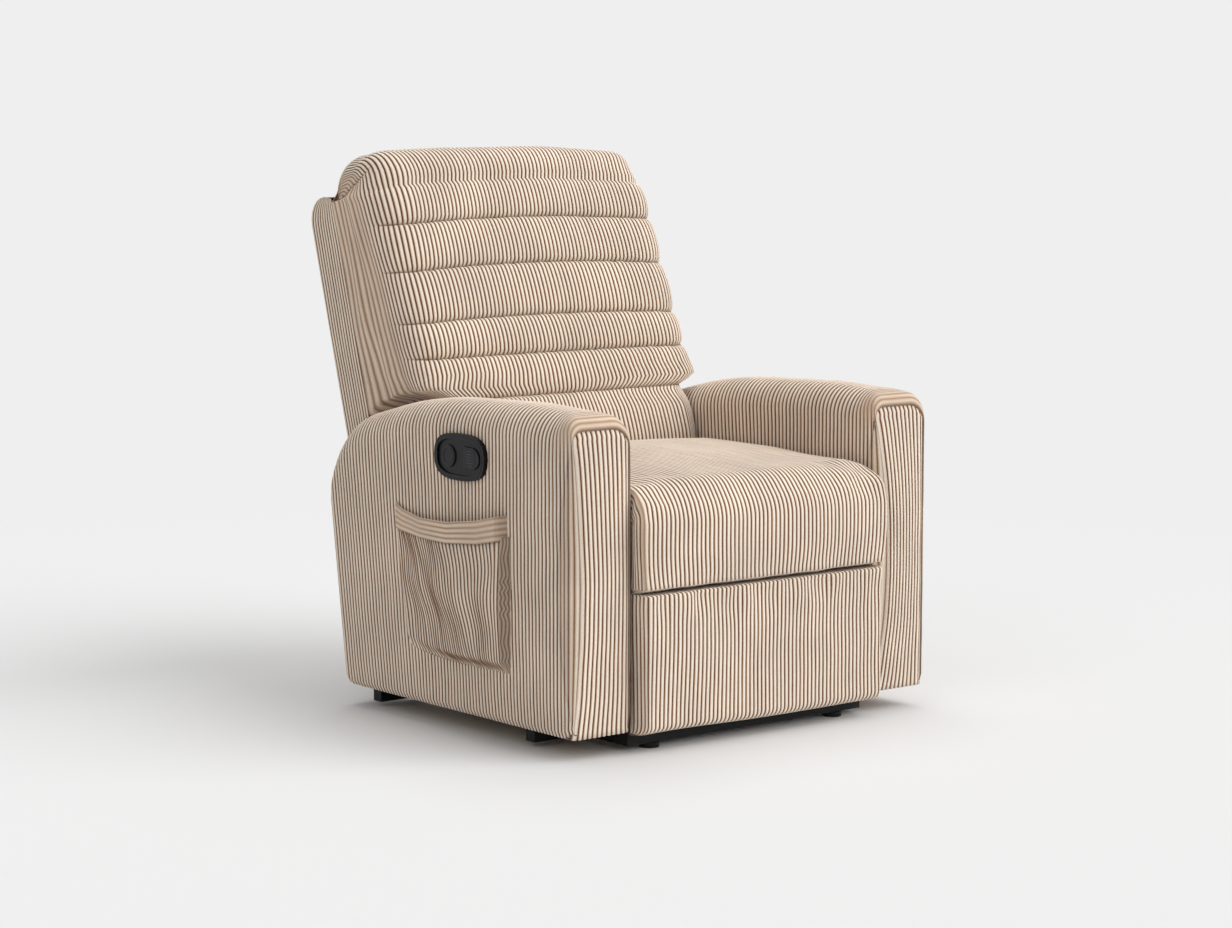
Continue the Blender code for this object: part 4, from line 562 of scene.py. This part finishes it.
# ---- Dust cloths: thin black nonwoven cloth under each arm, cut to the arm's frame, pulled
# flat and stapled to its underside.
DUST_SIZE = (0.108, 0.660)
DUST_MIDDLE = 0.345
dust_cloth = mottled("dust_cloth", (0.012, 0.012, 0.013), (0.024, 0.024, 0.025), 0.9, 0.0,
                     60, 1200, 0.0002)
for side, label in ARMS:
    shape = bmesh.new()
    bmesh.ops.create_grid(shape, x_segments=12, y_segments=60, size=0.5)
    for vert in shape.verts:
        ripple = 0.5 + 0.5 * math.sin(vert.co.y * 21.0 + vert.co.x * 5.0)
        vert.co = (MIDDLE + side * ARM_CENTRE + vert.co.x * DUST_SIZE[0],
                   FRONT + DUST_MIDDLE + vert.co.y * DUST_SIZE[1],
                   ARM_BOTTOM + 0.0030 - 0.0012 * math.cos(vert.co.x * math.pi) * ripple)
    bmesh.ops.reverse_faces(shape, faces=shape.faces)
    under = add_piece(shape, "arm_dust_cloth_" + label, dust_cloth, "base")

# ---- Side pocket: a bellows pocket of the same corduroy on the outside of the right arm.  Its
# mouth is bound with a band cut across the ribs, its rear side is sewn flat and its front side
# stands out on a gathered strip.
POCKET_REAR = (0.477, 0.512)
POCKET_FRONT = 0.180
POCKET_WALL = ARM_CENTRE + ARM_HALF
POCKET_RIBS = 37
STRIP_RIBS = 4
BAND_FACE = 4
BAND_LINING = 3
# Heights of the pocket's foot, band seam and mouth, from its rear side to its front one.
POCKET_ALONG = (0.0, 0.08, 0.27, 0.54, 0.81, 1.0)
POCKET_FOOT = (0.147, 0.140, 0.134, 0.131, 0.131, 0.132)
POCKET_SEAM = (0.358, 0.353, 0.348, 0.348, 0.356, 0.368)
POCKET_MOUTH = (0.402, 0.391, 0.382, 0.384, 0.396, 0.410)


def pocket_height(share, heights):
    return np.interp(share, POCKET_ALONG, heights)


def pocket_swell(share, climb):
    """How far the pocket stands off the arm at a share of its length and height."""
    fullness = (0.012 + 0.007 * arch(climb)) * ease(share / 0.55)
    return (0.0035 + fullness) * ease(climb / 0.10) + 0.0015


def pocket_bag():
    """Pouch and gathered strip: u runs forwards, v upwards."""
    def place(u, v):
        first = np.clip(u / POCKET_RIBS, 0, 1)
        share = np.clip(first + 0.20 * arch(first) * (0.45 - v), 0, 1)
        fold = np.clip((u - POCKET_RIBS) / STRIP_RIBS, 0, 1)
        low = pocket_height(share, POCKET_FOOT)
        high = pocket_height(share, POCKET_SEAM) + 0.006
        up = low + (high - low) * v
        rear = POCKET_REAR[0] + (POCKET_REAR[1] - POCKET_REAR[0]) * v
        waves = unevenness(first * 0.33, v * 0.25, 71, 18, 60)
        ripples = unevenness(first * 0.33, v * 0.10, 72, 60, 130)
        inside = ease(share / 0.1) * ease((1 - share) / 0.1)
        deep = rear + (POCKET_FRONT - rear) * share + 0.0035 * waves * inside
        out = pocket_swell(share, v) + (0.0013 * waves + 0.0014 * ripples) * inside * ease(v / 0.15)
        pleat = np.sin(2 * np.pi * (v * 8.5 + 0.5 * np.sin(v * 11.0))) * (0.7 + 0.3 * np.sin(v * 31.0))
        deep = deep - 0.014 * fold + 0.0022 * pleat * arch(fold)
        out = out * (1 - fold) + 0.0005 * fold + 0.0020 * pleat * arch(fold * 1.1)
        low_tip = ease((0.06 - v) / 0.06) * fold
        return np.stack([-(POCKET_WALL + out), deep - 0.006 * low_tip, up - 0.004 * low_tip], axis=-1)

    def pressed(u, v):
        edge = ease((0.8 - u) / 0.8) + ease((u - POCKET_RIBS + 0.3) / 0.8) * 0.75
        return edge + 0.3 * ease((0.10 - v) / 0.1)

    # Painted shade: the gathered strip, the seam under the band and the bag's foot are darkened.
    def painted_shade(u, v):
        strip = 0.75 * ease((u - POCKET_RIBS + 0.3) / 1.0)
        return np.maximum(strip, 0.8 * ease((v - 0.955) / 0.02) + 0.5 * ease((0.010 - v) / 0.010))

    rows = np.concatenate((np.linspace(0, 0.1, 9)[:-1], np.linspace(0.1, 1.0, 64)))
    return cloth("bag", POCKET_RIBS + STRIP_RIBS, rows, place, -1, pressed, painted_shade, depth=0.0019,
                 drift=0.14, seed=73)


def pocket_band():
    """Binding of the mouth: u runs up its face, over the edge and down inside, v forwards."""
    def place(u, v):
        share = np.clip(v, 0, 1)
        low = pocket_height(share, POCKET_SEAM)
        high = pocket_height(share, POCKET_MOUTH)
        front = np.clip(u / BAND_FACE, 0, 1)
        over = np.clip(u - BAND_FACE, 0, 1) * math.pi
        down = np.clip((u - BAND_FACE - 1) / BAND_LINING, 0, 1)
        up = low + (high - low) * front + 0.0022 * np.sin(over) - (high - low) * 0.75 * down
        depth = 0.0030 + 0.0022 * np.cos(over) - 0.0010 * down
        rear = POCKET_REAR[1] + 0.002
        deep = rear + (POCKET_FRONT - 0.004 - rear) * share
        waves = unevenness(share * 0.33, u * 0.004, 74, 20, 60)
        out = pocket_swell(share, 0.85) + depth + 0.0010 * waves
        ends = 1 - ease((share - 0.985) / 0.015)
        out = out * ends * ease((share + 0.004) / 0.02) + 0.0005
        return np.stack([-(POCKET_WALL + out), deep, up], axis=-1)

    def pressed(u, v):
        return 0.92 + 0.1 * (u > BAND_FACE + 1) + 0.08 * np.sin(v * 9.0)

    # Painted shade: the seam at the band's foot and its front end are darkened.
    def painted_shade(u, v):
        return 0.7 * ease((0.14 - u) / 0.1) + 0.35 * ease((v - 0.97) / 0.02)

    return cloth("band", BAND_FACE + 1 + BAND_LINING, np.linspace(0, 1, 110), place, 1, pressed, painted_shade,
                 depth=0.0012, drift=0.05, seed=75)


pocket = sewn_piece("side_pocket_cloth", [pocket_bag()], "base", "side_pocket")
band = sewn_piece("side_pocket_band", [pocket_band()], "base")

# ---- Arm switch: raised trim coloured greyer than the housing and the buttons, as a painted highlight along its edges.
# The inset plate has a raised lip, the round recline button a ring, and the return button
# six raised bars for the finger.
LIP_INSET = 0.0085
LIP_SQUARE = 0.62
RING_RADIUS = 0.0150
BAR_COUNT = 6
BAR_STEP = 0.0052
BAR_WIDTH = 0.0022
BAR_REACH = 0.019
# Raised lips, ring and bars: the black plastic lightened as a painted highlight on the raised edges.
lip_highlight_mould = mottled("moulded_lip_painted_highlight", (0.022, 0.022, 0.025), (0.034, 0.034, 0.038), 0.42, 0.0,
                    50, 1500, 0.0001)


def moulded_ring(name, body, face, centre, outline, width, proud):
    """Raised closed bead that follows an outline (y, z) on a face looking to -x."""
    section = ((-0.5, -0.0004), (-0.2, proud), (0.2, proud), (0.5, -0.0004))
    outline = np.array(outline)
    along = np.roll(outline, -1, axis=0) - np.roll(outline, 1, axis=0)
    outward = unit(np.stack([along[:, 1], -along[:, 0]], axis=1))
    turns = len(outline)
    shape = bmesh.new()
    bmesh.ops.create_grid(shape, x_segments=turns, y_segments=len(section), size=1.0)
    for index, vert in enumerate(shape.verts):
        row, step = divmod(index, turns + 1)
        shift, lift = section[row % len(section)]
        deep, up = outline[step % turns] + outward[step % turns] * shift * width
        vert.co = (face - lift, centre.y + deep, centre.z + up)
    bmesh.ops.remove_doubles(shape, verts=shape.verts, dist=0.00001)
    bmesh.ops.recalc_face_normals(shape, faces=shape.faces)
    add_piece(shape, name, lip_highlight_mould, body)


angles = np.linspace(0, 2 * math.pi, 49)[:-1]
low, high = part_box("button_recline")
ring_outline = [(RING_RADIUS * math.cos(angle), RING_RADIUS * math.sin(angle)) for angle in angles]
moulded_ring("button_recline_ring", "button_recline", low.x, (low + high) / 2, ring_outline,
             0.0020, 0.0009)
low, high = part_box("button_return")
centre = (low + high) / 2
shape = bmesh.new()
for index in range(BAR_COUNT):
    lift = (index - (BAR_COUNT - 1) / 2) * BAR_STEP
    reach = math.sqrt(BAR_REACH ** 2 - lift ** 2) * 0.66
    bar = bmesh.ops.create_cube(shape, size=1.0)["verts"]
    for vert in bar:
        vert.co = (low.x + 0.0002 + vert.co.x * BAR_WIDTH, centre.y + vert.co.y * 2 * reach,
                   centre.z + lift + vert.co.z * BAR_WIDTH)
    edges = list({edge for vert in bar for edge in vert.link_edges})
    bmesh.ops.bevel(shape, geom=edges, offset=0.0006, segments=2, profile=0.5, affect="EDGES",
                    material=-1)
add_piece(shape, "button_return_ribs", lip_highlight_mould, "button_return")
low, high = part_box("switch_housing")
half_long = (high.y - low.y) / 2 - LIP_INSET
half_high = (high.z - low.z) / 2 - LIP_INSET


def squared(value):
    """Fuller than a circle's cosine or sine, for an oval with squarer corners."""
    return np.sign(value) * abs(value) ** LIP_SQUARE


lip_outline = [(half_long * squared(math.cos(angle)), half_high * squared(math.sin(angle)))
               for angle in angles + 0.03]
moulded_ring("switch_plate_lip", "base", low.x, (low + high) / 2, lip_outline, 0.0018, 0.0008)

# ---- Seat: a foam cushion crowned over the springs, its corduroy rolling over the nose and down
# to the seam with the footrest.  Boxing strips close its sides.


def pillow(name, profile, lengths, core, half, radius, counts, rows, extra=None, outward=1,
           pressed=None, painted_shade=None, drop=None, seed=31):
    """Corduroy over a cushion whose side view is a profile: flat face, rounded edges and sides
    that close on the core line.  extra says how far it stands proud, drop how far a seam sags."""
    flat_ribs, edge_ribs, side_ribs = counts
    total = flat_ribs + edge_ribs + side_ribs
    middle = np.gradient(profile, axis=0)
    inward = unit(np.stack([-middle[:, 1], middle[:, 0]], axis=1))

    def at(run, values):
        return np.interp(run, lengths, values)

    def place(u, v):
        offset = u - total
        reach = np.abs(offset)
        face = np.clip(reach / flat_ribs, 0, 1)
        turn = np.clip((reach - flat_ribs) / edge_ribs, 0, 1) * math.pi / 2
        side_share = np.clip((reach - flat_ribs - edge_ribs) / side_ribs, 0, 1)
        share = (reach / (flat_ribs + edge_ribs)).clip(0, 1)
        run = v if drop is None else v - drop(share, v)
        deep, up = at(run, profile[:, 0]), at(run, profile[:, 1])
        core_deep, core_up = core(run, deep, up)
        curve = radius(run)
        room = np.maximum(np.hypot(core_deep - deep, core_up - up), 1e-6)
        inner = np.minimum(curve / room, 0.86)
        shift = inner * (1 - np.cos(turn)) + (1 - inner) * side_share
        deep = deep + (core_deep - deep) * shift
        up = up + (core_up - up) * shift
        across = face * (half(deep, up) - curve) + curve * np.sin(turn)
        if extra is not None:
            proud = extra(share, v, np.sign(offset), side_share)
            fade = np.cos(turn) * outward
            deep = deep - at(run, inward[:, 0]) * proud * fade
            up = up - at(run, inward[:, 1]) * proud * fade
            across = across + proud * np.sin(turn) * (side_share < 1)
        return np.stack([np.sign(offset) * across, deep, up], axis=-1)

    return cloth(name, 2 * total, rows, place, -outward, pressed, painted_shade, seed=seed)


def from_middle(u, counts):
    """Ribs between a place and the middle of a cushion."""
    return np.abs(u - sum(counts))


seat_low, seat_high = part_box("seat_cushion")
SEAT_HALF = (seat_high.x - seat_low.x) / 2
SEAT_FRONT = seat_low.y - FRONT + 0.002
SEAM = seat_low.z - 0.0022
# Ribs from the middle outwards: on the flat, round the edge and down the side.
SEAT_RIBS = (29, 2, 5)
SEAT_EDGE = 0.012
SEAT_CROWN = 0.014
SEAT_BELLY = 0.004
seat_profile, seat_lengths = trace([
    (0.20, 0.366, 0), (0.450, 0.366, 0.012), (0.483, 0.482, 0.022), (SEAT_FRONT, 0.466, 0.068),
    (SEAT_FRONT, SEAM, 0.002), (0.021, SEAM, 0.006), (0.021, 0.366, 0.004), (0.20, 0.366, 0)])


def seat_core(run, deep, up):
    low = np.clip(up, SEAM + 0.004, 0.40)
    return np.clip(deep, SEAT_FRONT + 0.055, 0.43), np.where(deep < 0.03, low, 0.39)


def seat_extra(share, run, side, side_share):
    """Crown of the top, belly of the nose, hollows, corner creases and puckers at the seam."""
    deep = np.interp(run, seat_lengths, seat_profile[:, 0])
    up = np.interp(run, seat_lengths, seat_profile[:, 1])
    across = share * side * SEAT_HALF
    middle = 1 - share ** 2
    crown = 0.4 + 0.6 * arch((deep - SEAT_FRONT) / 0.52)
    crown = SEAT_CROWN * middle * crown * ease((up - 0.44) / 0.03)
    belly = SEAT_BELLY * middle * ease((0.02 - deep) / 0.03) * arch((up - SEAM) / 0.18)
    soft = 0.0014 * unevenness(across, run, 7, 14, 40) * ease((up - 0.29) / 0.03)
    at_corner = ease((share - 0.35) / 0.5) * ease((up - 0.40) / 0.04) * ease((0.12 - deep) / 0.08)
    creases = 0.0022 * unevenness(across * 0.7, run * 1.3, 17, 70, 130) * at_corner
    pucker = 0.0016 * unevenness(across, 0.0, 19, 90, 220) * ease((SEAM + 0.035 - up) / 0.03)
    return crown + belly + soft + creases + pucker


def seat_half(deep, up):
    """The nose swells a little past the arms' inner faces where it stands in front of them."""
    ahead = ease((0.012 - deep) / 0.03)
    return SEAT_HALF + ahead * (0.002 + 0.007 * arch((up - SEAM) / 0.19))


def seat_pressed(u, v):
    edge = bell(from_middle(u, SEAT_RIBS) - SEAT_RIBS[0] - 1.2, 0.55)
    return (v < 0.20) + (v > seat_lengths[-1] - 0.25) + edge


# Painted shade: the seam round the edge and the gap to the footrest are darkened.
def seat_painted_shade(u, v):
    up = np.interp(v, seat_lengths, seat_profile[:, 1])
    edge = bell(from_middle(u, SEAT_RIBS) - SEAT_RIBS[0] - 1.8, 0.22)
    return 0.7 * edge + 0.45 * ease((SEAM + 0.0020 - up) / 0.001)


seat_end = seat_lengths[-1]
seat_rows = row_places(np.linspace(0, 0.24, 5), np.linspace(0.24, seat_end - 0.33, 82),
                       np.linspace(seat_end - 0.33, seat_end, 8))
seat_cloth = pillow("seat", seat_profile, seat_lengths, seat_core, seat_half, lambda run: SEAT_EDGE,
                    SEAT_RIBS, seat_rows, seat_extra, 1, seat_pressed, seat_painted_shade)
seat = sewn_piece("seat_upholstery", [seat_cloth], "seat", "seat_cushion", close=True)

# ---- Back cushion: channelled corduroy over foam, quilted by five cross seams that sag towards
# the sides, rounded over the top and wrapped round to the outer back.
PIVOT_DEEP = 0.600
PIVOT_UP = 0.390
back_low, back_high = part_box("back_cushion")
BACK_HALF = (back_high.x - back_low.x) / 2
BACK_TOP = back_high.z
BACK_BOTTOM = 0.312
BACK_SHOULDER = 0.94
SEAM_HEIGHTS = (0.580, 0.657, 0.728, 0.826, 0.913)
SEAM_REACHES = (8, 8, 9, 10, 8)
CREASE_HEIGHT = 0.985
SEAM_SAG = 0.018
CHANNEL_DEPTH = 0.010
SEAM_DEPTH = 0.006
DART_DEPTH = 0.006
BACK_RIBS = (28, 12, 7)
# Radius that the sides clear round the pivot pins, by bearing in degrees from straight back.
CLEAR_BEARINGS = (0, 50, 90, 100, 112)
CLEAR_RADII = (0.185, 0.178, 0.186, 0.189, 0.188)


def back_front(up):
    """Depth of the cushion's front face at a height; the rear face and the line between the
    cushion and the outer back follow."""
    return 0.490 + (up - 0.468) * 0.415


def back_rear(up):
    return 0.818 + (up - 0.508) * 0.296


def back_split(up):
    return back_rear(up) - 0.100


def back_half(deep, up):
    """Half of the back's width: narrow between the side plates, wider between the arms, and
    full over them, outside the circle that the arms' tops are cleared by as it reclines."""
    between = SEAT_HALF + 0.004
    narrow = 0.258 + (between - 0.258) * ease((up - 0.445) / 0.02)
    bearing = np.degrees(np.arctan2(up - PIVOT_UP, deep - PIVOT_DEEP))
    clear = np.interp(bearing, CLEAR_BEARINGS, CLEAR_RADII)
    reach = np.hypot(deep - PIVOT_DEEP, up - PIVOT_UP)
    widening = ease((reach - clear) / np.interp(bearing, (90, 112), (0.016, 0.034)))
    return narrow + (BACK_HALF - between) * widening


back_profile, back_lengths = trace([
    (back_split(BACK_BOTTOM), BACK_BOTTOM, 0), (0.494, BACK_BOTTOM, 0.012), (0.4685, 0.375, 0.06),
    (0.4685, 0.417, 0.06), (back_front(0.46), 0.46, 0.1),
    (back_front(BACK_TOP - 0.006), BACK_TOP - 0.006, 0.058),
    (back_split(BACK_TOP - 0.010), BACK_TOP - 0.010, 0.055),
    (back_split(BACK_SHOULDER), BACK_SHOULDER, 0)])
ridge = back_lengths[np.argmax(back_profile[:, 1])]
front_side = back_lengths < ridge - 0.03


def back_run(height):
    """Length along the profile at which the front face reaches a height."""
    lines = front_side & (back_lengths > 0.12)
    return float(np.interp(height, back_profile[lines, 1], back_lengths[lines]))


seam_runs = [back_run(height) for height in SEAM_HEIGHTS]
crease_run = back_run(CREASE_HEIGHT)
dart_run = ridge - 0.030
EDGE_RADII = (0.018, 0.024, 0.062, 0.076, 0.078, 0.062, 0.045)
edge_stops = (0.0, back_run(0.54), back_run(0.62), crease_run - 0.04, crease_run + 0.02, ridge,
              back_lengths[-1])


def back_core(run, deep, up):
    level = np.where(run > ridge, BACK_SHOULDER, np.clip(up, BACK_BOTTOM, BACK_SHOULDER))
    return back_split(level), level


def back_radius(run):
    return np.interp(run, edge_stops, EDGE_RADII)


def back_drop(share, run):
    sagging = ease((run - back_run(0.60)) / 0.2) * ease((ridge + 0.05 - run) / 0.05)
    return SEAM_SAG * share ** 2 * sagging


def back_extra(share, run, side, side_share):
    """Channels between the seams, puckers, hollows, side folds, rounded top corners and darts."""
    edge = 1 - ease((share - 0.80) / 0.18)
    total = np.zeros(np.broadcast(share, run).shape)
    stops = [back_run(0.475)] + seam_runs + [crease_run, ridge + 0.02]
    for low, high in zip(stops, stops[1:]):
        channel = CHANNEL_DEPTH * lens((run - low) / (high - low)) ** 0.6
        total = np.where((run >= low) & (run < high), channel, total)
    total = total * edge
    for index, stop in enumerate(seam_runs):
        pucker = 1 + 0.3 * unevenness(share * side * 6.0, 0.0, 60 + index, 4, 30)
        total = total - SEAM_DEPTH * pucker * np.exp(-np.abs(run - stop) / 0.0035) * edge
    soft = 0.0012 * unevenness(share * side * BACK_HALF, run, 8, 12, 36) * ease((run - 0.2) / 0.05)
    fold = 0.0030 * unevenness(side_share * 0.17, run * 0.28, 9, 50, 110) * arch(side_share)
    near_top = ease((run - crease_run + 0.01) / 0.06) * ease((back_lengths[-1] - run) / 0.05)
    corner = np.where(side > 0, 0.026, 0.014) * share ** 3 * near_top
    dart = DART_DEPTH * bell(run - dart_run, 0.004) * ease((share - 0.80) / 0.1)
    return total + soft + fold - corner - dart


def back_seam_mark(u, v, width, side_share):
    """Marks the cross seams and the darts, and the sides by a share: as the pressed mask it flattens
    the pile there, as the other mask it darkens them as painted shade.
    """
    reach = from_middle(u, BACK_RIBS) - BACK_RIBS[0]
    near = 0.0
    for stop, ribs in zip(seam_runs, SEAM_REACHES):
        near = near + bell(v - stop, width) * ease(ribs - reach)
    near = near + bell(v - dart_run, width) * ease(reach - 8)
    return near + side_share * ease((reach - BACK_RIBS[1] + 3) / 3.0)


back_rows = [np.linspace(0, 0.10, 3), np.linspace(0.10, back_run(0.47), 8)]
stops = [back_run(0.47)] + seam_runs + [crease_run]
for low, high in zip(stops, stops[1:]):
    back_rows.append(np.linspace(low + 0.009, high - 0.009, max(5, round((high - low) / 0.011))))
for stop in seam_runs:
    back_rows.append(stop + np.array((-0.006, -0.0035, -0.0016, 0, 0.0016, 0.0035, 0.006)))
back_rows.append(np.linspace(crease_run, back_lengths[-1], 22))
back_rows.append(dart_run + np.array((-0.006, -0.003, 0, 0.003, 0.006)))
# The last two masks flatten the pile at the seams, darts and sides, and darken them there as painted
# shade.
back_cloth = pillow("back", back_profile, back_lengths, back_core, back_half, back_radius, BACK_RIBS,
                    row_places(*back_rows), back_extra, -1,
                    lambda u, v: back_seam_mark(u, v, 0.0018, 0.74),
                    lambda u, v: back_seam_mark(u, v, 0.0012, 0.05), back_drop, seed=41)
back = sewn_piece("back_upholstery", [back_cloth], "back", "back_cushion", close=True)

# ---- Outer back: the plywood posts and rails padded thinly and covered in upright corduroy
# that wraps round the sides to the back cushion.
OUTER_TOP = 0.95
OUTER_RIBS = (34, 3, 9)
OUTER_GAP = 0.001
OUTER_EDGE = 0.016
outer_profile, outer_lengths = trace([
    (back_split(OUTER_TOP) + OUTER_GAP, OUTER_TOP, 0),
    (back_rear(OUTER_TOP) - 0.004, OUTER_TOP, 0.045), (back_rear(BACK_BOTTOM), BACK_BOTTOM, 0.020),
    (back_split(BACK_BOTTOM) + OUTER_GAP, BACK_BOTTOM, 0)])
outer_end = outer_lengths[-1]


def outer_core(run, deep, up):
    level = np.clip(up, BACK_BOTTOM, OUTER_TOP)
    return back_split(level) + OUTER_GAP, level


outer_rows = row_places(np.linspace(0, 0.22, 18), np.linspace(0.22, outer_end - 0.12, 40),
                        np.linspace(outer_end - 0.12, outer_end, 6))
outer_cloth = pillow("outer", outer_profile, outer_lengths, outer_core, back_half,
                     lambda run: OUTER_EDGE, OUTER_RIBS, outer_rows, outward=-1, seed=51)
outer = sewn_piece("back_outer_upholstery", [outer_cloth], "back", "back_outer_cover", close=True)

# ---- Footrest: a padded board that hangs under the seat front, covered in corduroy that
# carries the seat's ribs on downwards.
pad_low, pad_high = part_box("footrest_pad")
PAD_HALF = (pad_high.x - pad_low.x) / 2
PAD_FRONT = pad_low.y - FRONT - 0.001
PAD_REAR = 0.0155
PAD_TOP = SEAM + 0.0010
PAD_RIBS = (29, 2, 4)
PAD_EDGE = 0.011
pad_profile, pad_lengths = trace([
    (PAD_REAR, PAD_TOP, 0), (PAD_FRONT, PAD_TOP, 0.002), (PAD_FRONT, pad_low.z, 0.018),
    (PAD_REAR, pad_low.z, 0)])


def pad_extra(share, run, side, side_share):
    """Hollows, and puckers under the seam."""
    across = share * side * PAD_HALF
    below = np.clip(PAD_TOP - np.interp(run, pad_lengths, pad_profile[:, 1]), 0, 1)
    soft = 0.0016 * unevenness(across, run, 27, 10, 30)
    pucker = 0.0022 * unevenness(across, run * 0.25, 28, 60, 200) * ease((0.075 - below) / 0.06)
    return (soft + pucker) * ease(below / 0.004)


pad_rows = row_places(np.linspace(0, 0.07, 14), np.linspace(0.07, 0.14, 16),
                      np.linspace(0.14, pad_lengths[-1], 34))
pad_cloth = pillow("pad", pad_profile, pad_lengths, lambda run, deep, up: (PAD_REAR, up),
                   lambda deep, up: PAD_HALF, lambda run: PAD_EDGE, PAD_RIBS, pad_rows, pad_extra,
                   seed=61)
pad = sewn_piece("footrest_upholstery", [pad_cloth], "footrest", "footrest_pad", close=True)

# ---- Studio: a pale matt floor that keeps the soft shadow and fades into a plain pale
# surround, three wide soft suns from the front right, the front left and above, and the camera.
FLOOR_SHADE = 0.735
SURROUND_SHADE = 0.863
AMBIENT = 0.36
bpy.ops.mesh.primitive_plane_add(size=14.0)
floor = bpy.context.object
floor.name = "studio_floor"
material, nodes, links, shader = new_material("studio_floor", 0.95)
shader.inputs["Base Color"].default_value = (FLOOR_SHADE, FLOOR_SHADE, FLOOR_SHADE, 1.0)
glow = nodes.new("ShaderNodeEmission")
glow.inputs["Color"].default_value = (SURROUND_SHADE, SURROUND_SHADE, SURROUND_SHADE, 1.0)
mix = nodes.new("ShaderNodeMixShader")
distance = nodes.new("ShaderNodeVectorMath")
distance.operation = "LENGTH"
links.new(nodes.new("ShaderNodeTexCoord").outputs["Object"], distance.inputs[0])
links.new(add_range(nodes, links, distance.outputs["Value"], 0.0, 1.0, 1.2, 3.0), mix.inputs[0])
links.new(shader.outputs[0], mix.inputs[1])
links.new(glow.outputs[0], mix.inputs[2])
links.new(mix.outputs[0], nodes["Material Output"].inputs["Surface"])
floor.data.materials.append(material)

world = bpy.data.worlds.new("studio")
bpy.context.scene.world = world
world.use_nodes = True
nodes, links = world.node_tree.nodes, world.node_tree.links
rays = nodes.new("ShaderNodeLightPath")
seen = nodes.new("ShaderNodeMath")
through = nodes.new("ShaderNodeMath")
seen.operation = through.operation = "MAXIMUM"
links.new(rays.outputs["Is Glossy Ray"], through.inputs[0])
links.new(rays.outputs["Is Transmission Ray"], through.inputs[1])
links.new(rays.outputs["Is Camera Ray"], seen.inputs[0])
links.new(through.outputs[0], seen.inputs[1])
ambient = nodes["Background"]
ambient.inputs["Color"].default_value = (1.0, 1.0, 1.0, 1.0)
ambient.inputs["Strength"].default_value = AMBIENT
backdrop = nodes.new("ShaderNodeBackground")
backdrop.inputs["Color"].default_value = (SURROUND_SHADE, SURROUND_SHADE, SURROUND_SHADE, 1.0)
choose = nodes.new("ShaderNodeMixShader")
links.new(seen.outputs[0], choose.inputs[0])
links.new(ambient.outputs[0], choose.inputs[1])
links.new(backdrop.outputs[0], choose.inputs[2])
links.new(choose.outputs[0], nodes["World Output"].inputs["Surface"])


def sun(name, towards, spread, strength):
    """Wide soft lamp that shines from a direction with the same strength everywhere."""
    data = bpy.data.lights.new(name, "SUN")
    data.angle = math.radians(spread)
    data.energy = strength
    light = bpy.data.objects.new(name, data)
    light.rotation_euler = (-Vector(towards)).to_track_quat("-Z", "Y").to_euler()
    light.location = Vector(towards) * 4
    bpy.context.scene.collection.objects.link(light)


sun("key_light", (0.44, -0.68, 0.58), 56, 2.20)
sun("fill_light", (-0.74, -0.30, 0.60), 50, 0.50)
sun("top_light", (0.18, 0.24, 0.95), 45, 1.00)

CAMERA_PLACE = Vector((-3.493 + MIDDLE, -3.928 + FRONT, 1.088))
CAMERA_TILT = math.radians(6.52)
HEADING = Vector((0.628, 0.778, -math.tan(CAMERA_TILT)))
CAMERA_LENS = 86.73
SENSOR_WIDTH = 36.0
camera_data = bpy.data.cameras.new("camera")
camera_data.lens = CAMERA_LENS
camera_data.sensor_width = SENSOR_WIDTH
camera = bpy.data.objects.new("camera", camera_data)
camera.location = CAMERA_PLACE
camera.rotation_euler = HEADING.to_track_quat("-Z", "Y").to_euler()
bpy.context.scene.collection.objects.link(camera)
bpy.context.scene.camera = camera
bpy.context.scene.view_settings.view_transform = "Standard"
